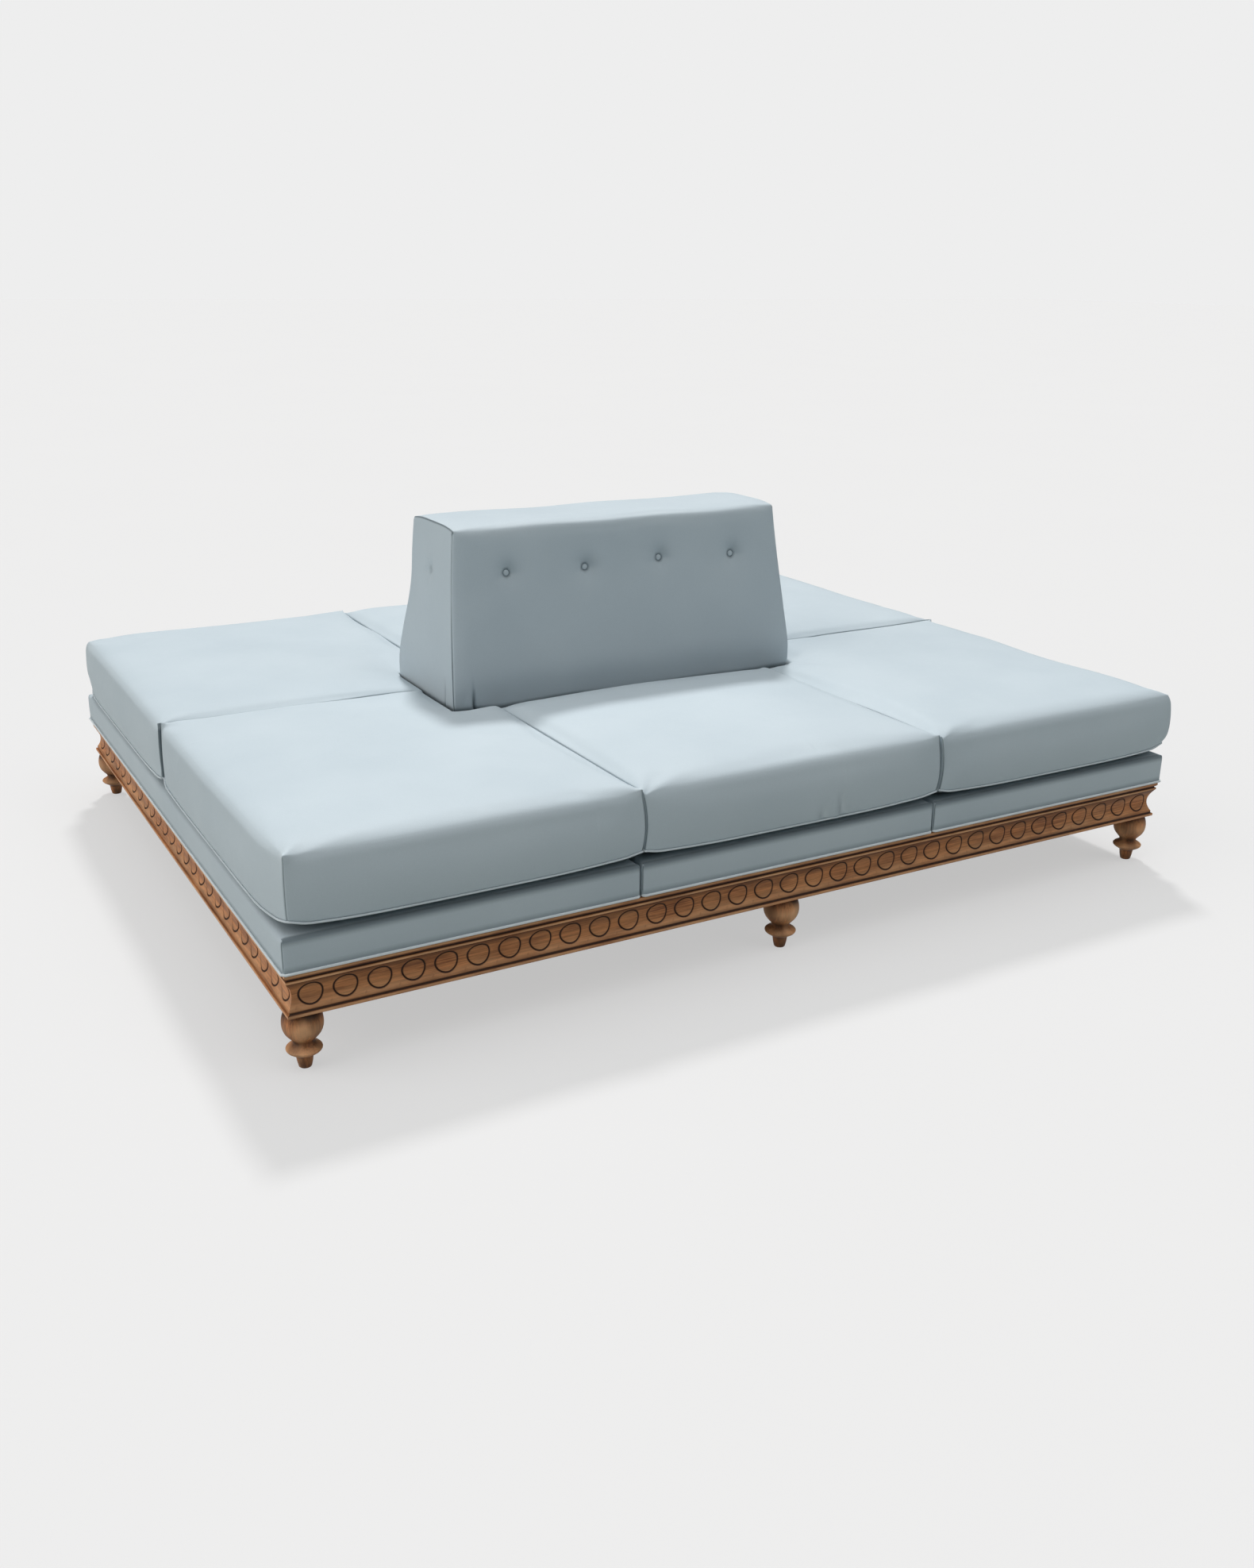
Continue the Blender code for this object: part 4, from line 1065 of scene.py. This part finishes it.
def build_deck(name, x0, x1, seed):
    """One padded deck over its board: sewn corners, a soft upper edge and a welt along its foot."""
    half_y = DECK_DEPTH / 2
    base = PLINTH_TOP + FIT
    height = DECK_TOP - base
    near = (0.0, 0.0025, 0.006, 0.012, DECK_SKIRT, 0.050)
    xs, ys = grid_lines([x0, x1], DECK_STEP, near), grid_lines([-half_y, half_y], DECK_STEP, near)
    well = BOARD_THICKNESS + FIT
    zs = np.array([0.0, 0.003, 0.009, well, 0.034, 0.048, 0.060, 0.0665, 0.0715, 0.075, height])
    solid = np.ones((len(xs) - 1, len(ys) - 1, len(zs) - 1), bool)
    in_x = (xs[:-1] > x0 + DECK_SKIRT - 1e-5) & (xs[1:] < x1 - DECK_SKIRT + 1e-5)
    in_y = (ys[:-1] > -half_y + DECK_SKIRT - 1e-5) & (ys[1:] < half_y - DECK_SKIRT + 1e-5)
    solid[np.ix_(in_x, in_y, zs[:-1] < well - 1e-6)] = False
    x, y, z, faces = block_skin(solid, xs, ys, zs)
    soft = DECK_SOFTNESS
    a, b = edge_share(x, x0, x1, soft, soft), edge_share(y, -half_y, half_y, soft, soft)
    c = edge_share(z, -1.0, height, 0.001, soft)
    shares = np.stack([a, b, c], 1)
    both = np.minimum(np.abs(a), np.abs(b))
    norm = edge_norm(a, b, c, 2.0 + both**2)
    points = softened(np.stack([x, y, z], 1), shares, np.full_like(shares, soft), norm)
    outer = np.maximum(np.abs(a), np.abs(b)) > 0.99
    upright = np.sin(math.pi * np.clip(z / height, 0, 1)) * outer
    ends = crown_share(np.minimum(x - x0, x1 - x), DECK_CROWN), crown_share(half_y - np.abs(y), DECK_CROWN)
    at_edge = np.abs(np.abs(x) - DECK_LENGTH / 2) < 1e-6
    points[:, 0] += np.sign(x) * DECK_SWELL * upright * ends[1] * at_edge
    points[:, 1] += b * DECK_SWELL * upright * ends[0] * (np.abs(b) > 0.99)
    free = upright * (1 - both**4)
    points[:, :2] += (wander(points, seed, 9, 0.5, 0.12) * (DECK_WANDER * free)[:, None])[:, :2]
    points[:, 0] = np.clip(points[:, 0], x0 - DECK_PROUD * (x0 < -1), x1 + DECK_PROUD * (x1 > 1))
    seam = (both > 0.97) & (z < height - 0.004)
    points[seam, 0] -= DECK_SEAM * np.sign(a[seam])
    points[seam, 1] -= DECK_SEAM * np.sign(b[seam])
    points[:, 2] += base
    deck = new_piece(f"deck_{name}_cover", points, faces, FABRIC)
    # Painted shade in the corner seams, along the foot above the welt, and on the top edge at front and back
    # under the cushions
    painted_shade = np.where(seam, 1.0, 0.0)
    foot = (z < 1e-6) & outer
    painted_shade[outer & (z < 0.010)] = 0.4
    shaded = (np.abs(b) > 0.2) & (np.abs(a) < 0.9)
    painted_shade = np.maximum(painted_shade, shaded * DECK_SHADE * smooth_step((z - 0.058) / 0.016))
    paint(deck, "painted_shade", painted_shade)
    upholster(deck, f"deck_pad_{name}")
    ring = points[loop_order(faces, np.flatnonzero(foot))]
    centre = np.array(((x0 + x1) / 2, 0.0, 0.0))
    outward = np.sign(ring - centre) * (WELT_PROUD, WELT_PROUD, 0.0)
    split = np.abs(np.abs(ring[:, 0]) - SPLIT_X) < 0.01
    outward[split, 0] *= -WELT_DRAW
    corner = (np.abs(ring[:, 1]) > half_y - 0.006) & (np.abs(ring[:, 0]) > DECK_LENGTH / 2 - 0.006)
    outward[corner] *= WELT_CORNER
    path = ring + outward + (0.0, 0.0, WELT_RADIUS)
    welt_points, welt_faces = tube(path, WELT_RADIUS)
    welt = new_piece(f"deck_{name}_welt", welt_points, welt_faces, FABRIC)
    # The welt is painted pale all round, a painted highlight for the light caught along its top
    paint(welt, "pale", np.ones(len(welt_points)))
    settle(welt, "upholstery")


def build_decks():
    """Three decks side by side."""
    half_x = DECK_LENGTH / 2
    near, far = SPLIT_X - DECK_GAP / 2, SPLIT_X + DECK_GAP / 2
    spans = {"left": (-half_x, -far), "middle": (-near, near), "right": (far, half_x)}
    for seed, (name, (x0, x1)) in enumerate(spans.items()):
        build_deck(name, x0, x1, 40 + seed)


# Backrest


FACE_EASE, FACE_LEAN, FACE_HOLLOW = 0.0035, 0.058, 0.028
END_EASE, END_LEAN = 0.003, 0.0335
FOOT_ROLL, ROLL_TOP, ROLL_HEIGHT = 0.016, 0.170, 0.034
BACK_SOFTNESS = 0.014
END_ZONE = 0.036
FACE_DROP = 0.009
TOP_DROP = 0.002
DIMPLE_DEPTH = 0.0150
DIMPLE_REACH = 0.062
BUTTON_STRAYS = ((-0.001, 0.004), (-0.002, 0.000), (-0.005, 0.006), (-0.002, -0.002))
END_DIMPLE = 0.6
TUFT_PLEAT = 0.0010
TUFT_SHADE, END_TUFT_SHADE = 0.38, 0.3
FACE_SWELL, END_SWELL = 0.002, 0.003
TOP_LIFT, TOP_CROWN, TOP_SAG = 0.003, 0.009, 0.002
END_SEAM, END_LIP = 0.0014, 0.0008
END_SEAM_SHADE, TOP_SEAM_SHADE = 0.95, 0.8
BACKREST_WANDER = 0.0012
WAIST_DEPTH = 0.010
WAIST_RISE = 0.405
BACKREST_PLAY = 0.002
FOOT_SHADE, FOOT_SHADE_TOP = 0.75, 0.158
FRONT_PLEAT = 0.052
END_PLEAT = 0.056
PLEAT_TOP = 0.224
PLEAT_RIDGE = 0.0040
PLEAT_DEPTH = 0.0085
PLEAT_SHADE = 0.75


def above_belly(rise):
    """Share of the way from the backrest's belly to its top, eased at the belly."""
    share = np.clip((rise - BELLY_HEIGHT) / (BACKREST_HEIGHT - BELLY_HEIGHT), 0.0, None)
    return 1.08 * share**2 / (share + 0.08)


def foot_tuck(rise):
    """How far the backrest is drawn in below its belly."""
    rolled = np.clip((ROLL_TOP - np.asarray(rise)) / ROLL_HEIGHT, 0.0, 1.0)
    straight = (BACKREST_TUCK - FOOT_ROLL) * np.clip(1 - rise / 0.136, 0.0, 1.0)
    return FOOT_ROLL * (1 - np.sqrt(1 - rolled**2)) + straight


def half_length(rise):
    """Half the backrest's length at a rise above the decks."""
    return BACKREST_LENGTH / 2 - END_EASE - END_LEAN * above_belly(rise) - foot_tuck(rise)


def half_depth(rise):
    """Half the backrest's depth at a rise above the decks, with a slight waist at the buttons."""
    share = above_belly(rise)
    lean = BACKREST_DEPTH / 2 - FACE_EASE - FACE_LEAN * share
    return lean - FACE_HOLLOW * share * (1 - share) - foot_tuck(rise)


def frame_depth(rise):
    """Half the depth of the hollow for the wooden frame at a rise above the decks."""
    knee = BACKREST_DEPTH / 2 - BACKREST_PAD
    top = BACKREST_DEPTH / 2 - BACKREST_FACE_LEAN - BACKREST_PAD
    return np.interp(rise, (BELLY_HEIGHT, BACKREST_HEIGHT - BACKREST_PAD), (knee, top)) + 2 * FIT


def button_places():
    """Each button's name, its point on the plain face and the way that it faces."""
    climb = BACKREST_HEIGHT - BELLY_HEIGHT
    lean_y, lean_x = math.atan2(BACKREST_FACE_LEAN, climb), math.atan2(BACKREST_END_LEAN, climb)
    depth, length = float(half_depth(BUTTON_RISE)), float(half_length(BUTTON_RISE))
    height = DECK_TOP + BUTTON_RISE
    found = []
    for name, sign in (("front", -1), ("back", 1)):
        facing = Vector((0.0, sign * math.cos(lean_y), math.sin(lean_y)))
        for i, (aside, up) in enumerate(BUTTON_STRAYS):
            point = Vector(((i - 1.5) * BUTTON_PITCH + aside, sign * depth, height + up))
            found.append((f"{name}_{i + 1}", point, facing))
    for name, sign in (("end_left", -1), ("end_right", 1)):
        facing = Vector((sign * math.cos(lean_x), 0.0, math.sin(lean_x)))
        found.append((name, Vector((sign * length, 0.0, height)), facing))
    return found


def build_backrest():
    """The wedge's padded cover: a strip over front, top and back, sewn to two end panels."""
    near = (0.0, 0.004, 0.008, 0.013, 0.019, 0.026, 0.036, 0.050)
    edge = (0.0, 0.0022, 0.005, 0.010, 0.016, 0.023, 0.031)
    fold = (-0.009, -0.005, -0.0025, 0.0, 0.0025, 0.005, 0.009)
    base_length, base_depth = float(half_length(BELLY_HEIGHT)), float(half_depth(BELLY_HEIGHT))
    scale = base_length / float(half_length(BUTTON_RISE))
    spots = [(i - 1.5) * BUTTON_PITCH * scale for i in range(4)]
    cavity_x = BACKREST_LENGTH / 2 - BACKREST_END_LEAN - BACKREST_PAD + FIT
    inner = grid_lines([-base_length, *spots, base_length], 0.026, near)
    inner = inner[np.abs(inner) < base_length - 0.066]
    ends = np.array([base_length - o for o in edge] + [base_length - FRONT_PLEAT + o for o in fold])
    xs = np.unique(np.round(np.concatenate([inner, ends, -ends, [cavity_x, -cavity_x]]), 6))
    cavity_y = BACKREST_DEPTH / 2 - BACKREST_PAD + 2 * FIT
    side = [base_depth - o for o in edge] + [base_depth - END_PLEAT + o for o in fold] + [cavity_y]
    across = list(near) + [0.068, 0.090, 0.110]
    ys = np.unique(np.round(np.array(side + [-s for s in side] + across + [-s for s in across]), 6))
    top_of_frame = BACKREST_HEIGHT - BACKREST_PAD + FIT
    rises = [0.0, 0.012, 0.030, 0.055, 0.085, 0.112, 0.128, 0.1365, 0.140, 0.145, 0.152]
    rises += [0.161, 0.171, 0.183, 0.196, 0.213, 0.236, 0.263, 0.292, 0.325, 0.360, 0.395]
    rises += [BUTTON_RISE - o for o in near] + [BUTTON_RISE + o for o in near]
    rises += [BACKREST_HEIGHT - o for o in edge] + [top_of_frame]
    zs = np.unique(np.round(np.array(rises), 6))
    solid = np.ones((len(xs) - 1, len(ys) - 1, len(zs) - 1), bool)
    in_x, in_y = np.abs(xs[:-1] + xs[1:]) / 2 < cavity_x, np.abs(ys[:-1] + ys[1:]) / 2 < cavity_y
    solid[np.ix_(in_x, in_y, zs[:-1] < top_of_frame - 1e-6)] = False
    x, y, z, faces = block_skin(solid, xs, ys, zs)
    inside = (np.abs(x) < cavity_x + 1e-6) & (np.abs(y) < cavity_y + 1e-6) & (z < top_of_frame + 1e-6)
    outside = ~inside
    length, depth = half_length(z), half_depth(z)
    wide_x, wide_y = x * length / base_length, y * depth / base_depth
    a = edge_share(wide_x, -length, length, END_ZONE, END_ZONE) * outside
    soft = BACK_SOFTNESS - 0.004 * a**2
    b = edge_share(wide_y, -depth, depth, soft, soft) * outside
    c = np.clip((z - BACKREST_HEIGHT) / soft + 1, 0.0, 1.0) * outside
    most, norm = np.maximum(np.abs(b), c), np.maximum(np.hypot(b, c), 1e-9)
    round_off = soft * (1 - most / norm)
    drop = (1 - np.sqrt(1 - a**2)) * most / norm
    soft_y, soft_z = b * (round_off + FACE_DROP * drop), c * (round_off + TOP_DROP * drop)
    points = np.stack([wide_x, wide_y - soft_y, z - soft_z], 1)
    points[inside] = np.stack([x, y / cavity_y * frame_depth(z), z], 1)[inside]

    # Crowned top and swelling faces
    along = crown_share(base_length - np.abs(x), 0.09)
    across = crown_share(base_depth - np.abs(y), 0.12)
    up = np.sin(math.pi * np.clip(z / BACKREST_HEIGHT, 0, 1)) ** 0.8
    points[:, 1] += b * FACE_SWELL * along * up
    points[:, 0] += np.where(np.abs(a) > 0.999, np.sign(a) * END_SWELL * across * up, 0.0)
    points[:, 2] += c * (TOP_LIFT + (TOP_CROWN - TOP_SAG * along) * across)
    waist = WAIST_DEPTH * bell(z - WAIST_RISE, 0.10) * smooth_step((y / base_depth + 0.1) / 0.8)
    points[:, 0] -= outside * np.sign(a) * np.abs(a) ** 2 * waist
    seam = outside & (np.abs(a) > 0.999) & (most > 0.97)
    free = outside * (1 - np.abs(a) ** 6 * most**6)
    points += wander(points, 77, 8, 0.45, 0.16) * (BACKREST_WANDER * free * smooth_step(z / 0.1))[:, None]
    points[:, 2] += DECK_TOP + FIT

    cover = new_piece("backrest_cover_sewn", points, faces, FABRIC)
    spot = np.zeros(len(points), bool)
    for _, point, _ in button_places():
        spot |= np.linalg.norm(points - np.array(point), axis=1) < 0.012
    held = np.maximum(smooth_step((np.abs(a) - 0.1) / 0.6), bell(z - BUTTON_RISE, 0.07))
    pins = np.where(inside | seam | spot | (z < 0.030), 1.0, 0.9 * held)

    def clamp(moved):
        low = moved[:, 2] < DECK_TOP + BELLY_HEIGHT + 0.06
        moved[low, 0] = np.clip(moved[low, 0], -base_length - 0.001, base_length + 0.001)
        moved[low, 1] = np.clip(moved[low, 1], -base_depth - 0.001, base_depth + 0.001)
        return moved

    hold_for_cloth(cover, pins, BACKREST_PLAY, clamp)
    section = np.stack([b / norm, c / norm], 1)
    return cover, a, most, section, outside, seam, z


def finish_backrest(piece, a, most, section, outside, seam, rise):
    """Pulls the tufts in, sews the end seams and sets the pleats at the foot."""
    points = points_of(piece.data)
    painted_shade = np.zeros(len(points))
    for name, point, facing in button_places():
        away = points - np.array(point)
        out = away @ np.array(facing)
        flat = away - out[:, None] * np.array(facing)
        apart = np.linalg.norm(flat, axis=1)
        near = outside & (np.abs(out) < 0.03)
        angle = np.arctan2(flat[:, 2], -facing[1] * flat[:, 0] + facing[0] * flat[:, 1])
        pulled = 0.20 * bell(apart, 0.036) + 0.80 * np.clip(1 - apart / DIMPLE_REACH, 0, 1) ** 2.4
        pleat = TUFT_PLEAT * np.cos(5 * angle + len(name)) * bell(apart - 0.022, 0.014)
        if "end" in name:
            pulled = END_DIMPLE * np.clip(1 - apart / 0.036, 0, 1) ** 1.5
        depth = np.where(near, DIMPLE_DEPTH * pulled + pleat, 0.0)
        points -= depth[:, None] * np.array(facing)
        # Painted shade: a dark ring round each button and a smear of shade towards its upper right, less on
        # the end tufts
        dark = END_TUFT_SHADE if "end" in name else 1.0
        painted_shade = np.maximum(painted_shade, np.where(near, dark * np.exp(-((apart / 0.0122) ** 6)), 0.0))
        side = 0.5 + 0.5 * np.cos(angle - 0.9)
        tuft_smear_shade = dark * TUFT_SHADE * side**2 * bell(apart, 0.030)
        painted_shade = np.maximum(painted_shade, np.where(near, tuft_smear_shade, 0.0))

    # End seams: a stitched groove with a small lip beside it, drawn tight at the top and towards the foot,
    # with painted shade in the seam and beside it on the top
    tight = np.where(section[:, 1] > 0.2, 1.0, 0.40 + 0.60 * smooth_step((0.45 - rise) / 0.20))
    inward = np.stack([np.sign(a), 0.7 * section[:, 0], 0.7 * section[:, 1]], 1)
    points -= END_SEAM * (seam * tight)[:, None] * inward
    lip = outside & (np.abs(a) > 0.999) & (most > 0.80) & (most < 0.97)
    points[:, 0] += END_LIP * np.sign(a) * lip * tight
    painted_shade = np.maximum(painted_shade, seam * END_SEAM_SHADE * tight)
    beside = outside & (np.abs(a) > 0.93) & (np.abs(a) < 0.999) & (most > 0.97) & (section[:, 1] > 0.5)
    painted_shade = np.maximum(painted_shade, TOP_SEAM_SHADE * beside)
    # Painted shade along the foot where the cushions meet the backrest, less at the two plain corners
    plain_corner = points[:, 0] * points[:, 1] < 0
    from_corner = np.hypot(half_length(rise) - np.abs(points[:, 0]), half_depth(rise) - np.abs(points[:, 1]))
    foot = FOOT_SHADE * (1 - 0.8 * plain_corner * bell(from_corner, 0.060))
    painted_shade = np.maximum(painted_shade, outside * foot * smooth_step((FOOT_SHADE_TOP - rise) / 0.008))

    # Pleats at the foot, on either side of the upright seams at two opposite corners, with painted shade in
    # each fold
    reach = smooth_step((PLEAT_TOP - rise) / 0.060)
    face = outside & (np.abs(section[:, 0]) > 0.9) & (most > 0.97)
    end = outside & (np.abs(a) > 0.999)
    from_end = half_length(rise) - np.abs(points[:, 0])
    from_seam = half_depth(rise) - np.abs(points[:, 1])
    for axis, where, off in ((1, face, from_end - FRONT_PLEAT), (0, end, from_seam - END_PLEAT)):
        where = where & (points[:, 0] * points[:, 1] > 0)
        out = np.sign(points[:, axis]) * where * reach
        points[:, axis] += out * (PLEAT_RIDGE * bell(off + 0.008, 0.005) - PLEAT_DEPTH * bell(off, 0.0040))
        painted_shade = np.maximum(painted_shade, PLEAT_SHADE * where * reach * bell(off, 0.0032))
    put_points(piece.data, points)
    paint(piece, "painted_shade", np.clip(painted_shade, 0, 1))
    upholster(piece, "backrest_cover")


def build_buttons():
    """Ten covered buttons, sunk in their tufts."""
    outline = [(0.0, 0.0060), (0.0030, 0.0059), (0.0055, 0.0054), (0.0068, 0.0046), (0.0075, 0.0036)]
    outline += [(0.0076, 0.0026), (0.0072, 0.0016), (0.0078, 0.0008), (0.0090, 0.0005), (0.0100, 0.0002)]
    outline += [(0.0104, -0.0004), (0.0100, -0.0016), (0.0, -0.0018)]
    # Painted shade on the button's side and base, darkest in the gap round it; the end buttons are shaded a
    # little all over
    painted_shade_of = np.interp(np.arange(len(outline)), (0, 4, 5, 6, 12), (0.0, 0.0, 0.35, 1.0, 1.0))
    for name, point, facing in button_places():
        points, faces, index = turned(outline, 32)
        turn = np.array(facing.to_track_quat("Z", "Y").to_matrix())
        sunk = END_DIMPLE * DIMPLE_DEPTH + 0.0036 if "end" in name else DIMPLE_DEPTH - 0.0012
        seat = np.array(point - facing * sunk)
        button = new_piece(f"covered_button_{name}", points @ turn.T + seat, faces, FABRIC)
        paint(button, "painted_shade", np.maximum(painted_shade_of[index], 0.25 if "end" in name else 0.0))
        settle(button, "upholstery", f"button_{name}")


# Inner frame


def dress_inner_frame():
    """Procedural finishes for the timber, boards and bolts that keep their solids."""
    pale, dark = (0.62, 0.45, 0.28), (0.44, 0.29, 0.16)
    sawn = [timber_material(f"sawn_softwood_{n}", pale, dark, n) for n in range(3)]
    pale, dark = (0.66, 0.52, 0.35), (0.52, 0.38, 0.23)
    ply = [timber_material(f"birch_plywood_{n}", pale, dark, n) for n in range(3)]
    finishes = (
        ("foot_block", sawn[2]),
        ("cross_beam", sawn[1]),
        ("spine_beam", sawn[0]),
        ("backrest_bolt", steel_material()),
        ("backrest_end", ply[2]),
        ("backrest_centre", ply[2]),
        ("deck_board", ply[0]),
        ("backrest_", ply[0]),
    )
    for name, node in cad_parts.items():
        chosen = next((finish for start, finish in finishes if name.startswith(start)), None)
        if chosen and not name.endswith("cover"):
            node.data.materials.clear()
            node.data.materials.append(chosen)


# Stage


def build_floor():
    """A pale floor that shows the camera its plain colour and the sofa's shadow."""
    g = Graph(bpy.data.materials.new("pale_floor"))
    path = g.add("LightPath").outputs
    mirrored = g.math("MAXIMUM", path["Is Glossy Ray"], path["Is Transmission Ray"])
    seen = g.math("MAXIMUM", path["Is Camera Ray"], mirrored)
    place = g.add("TexCoord").outputs["Object"]
    mottle = g.remap(g.noise(place, 0.8, 2.0), 0.3, 0.7)
    shown = g.mix(mottle, (0.648, 0.640, 0.636), (0.656, 0.648, 0.644))
    colour = g.mix(seen, (0.46, 0.49, 0.48), shown)
    g.set(g.shader, {"Base Color": colour, "Roughness": 1.0, "Specular IOR Level": 0.0})
    glow = g.add("Emission", {"Color": STUDIO_GREY, "Strength": 1.0}).outputs[0]
    share = g.math("MULTIPLY", seen, FLOOR_GLOW)
    both = g.add("MixShader", {0: share, 1: g.shader.outputs[0], 2: glow}).outputs[0]
    g.links.new(both, g.nodes["Material Output"].inputs["Surface"])
    size = FLOOR_REACH
    corners = [(-size, -size, 0.0), (size, -size, 0.0), (size, size, 0.0), (-size, size, 0.0)]
    floor = new_piece("studio_floor", corners, [(0, 1, 2, 3)], g.owner)


def build_light():
    """A key from behind the right, weak fills from both sides, and a surround bright overhead only."""
    for name, energy, angle, colour, way in LAMPS:
        sun = bpy.data.lights.new(name, "SUN")
        sun.energy, sun.angle, sun.color = energy, math.radians(angle), colour
        lamp = bpy.data.objects.new(name, sun)
        lamp.rotation_euler = Vector(way).to_track_quat("-Z", "Y").to_euler()
        bpy.context.scene.collection.objects.link(lamp)
    g = Graph(bpy.data.worlds.new("studio"))
    bpy.context.scene.world = g.owner
    way = g.add("SeparateXYZ", {0: g.add("TexCoord").outputs["Generated"]})
    above = g.math("MAXIMUM", way.outputs["Z"], 0.0)
    climb = g.add("Math", {0: above, 1: DOME_POWER}, operation="POWER", use_clamp=True).outputs[0]
    dome = g.mix(climb, DOME_LOW, DOME_ZENITH)
    path = g.add("LightPath").outputs
    seen = g.math("MAXIMUM", path["Is Camera Ray"], path["Is Transmission Ray"])
    g.set(g.nodes["Background"], {"Color": g.mix(seen, dome, STUDIO_GREY)})


def build_camera():
    """The camera at the photograph's place."""
    yaw, pitch, roll = (math.radians(a) for a in (CAMERA_YAW, CAMERA_PITCH, CAMERA_ROLL))
    forward = Vector((math.sin(yaw) * math.cos(pitch), math.cos(yaw) * math.cos(pitch), math.sin(pitch)))
    right = Vector((math.cos(yaw), -math.sin(yaw), 0.0))
    up = right.cross(forward)
    tilted_right = math.cos(roll) * right + math.sin(roll) * up
    tilted_up = math.cos(roll) * up - math.sin(roll) * right
    camera = bpy.data.objects.new("photo_camera", bpy.data.cameras.new("photo_camera"))
    camera.data.sensor_width = SENSOR_MM
    camera.data.lens = FOCAL_PX / PHOTO_HEIGHT_PX * camera.data.sensor_width
    turn = Matrix((tilted_right, tilted_up, -forward)).transposed().to_4x4()
    camera.matrix_world = Matrix.Translation(CAMERA_PLACE) @ turn
    bpy.context.scene.collection.objects.link(camera)
    bpy.context.scene.camera = camera


build_camera()
build_light()
build_floor()
build_rails()
build_feet()
build_decks()
CUSHIONS = [(row, column) for row in ("front", "back") for column in ("left", "middle", "right")]
cushions = [build_cushion(row, column, 10 + n) for n, (row, column) in enumerate(CUSHIONS)]
backrest = build_backrest()
swell_all()
for made, (row, column) in zip(cushions, CUSHIONS):
    finish_cushion(made, row, column)
finish_backrest(*backrest)
build_buttons()
dress_inner_frame()

bpy.context.scene.view_settings.view_transform = "Standard"
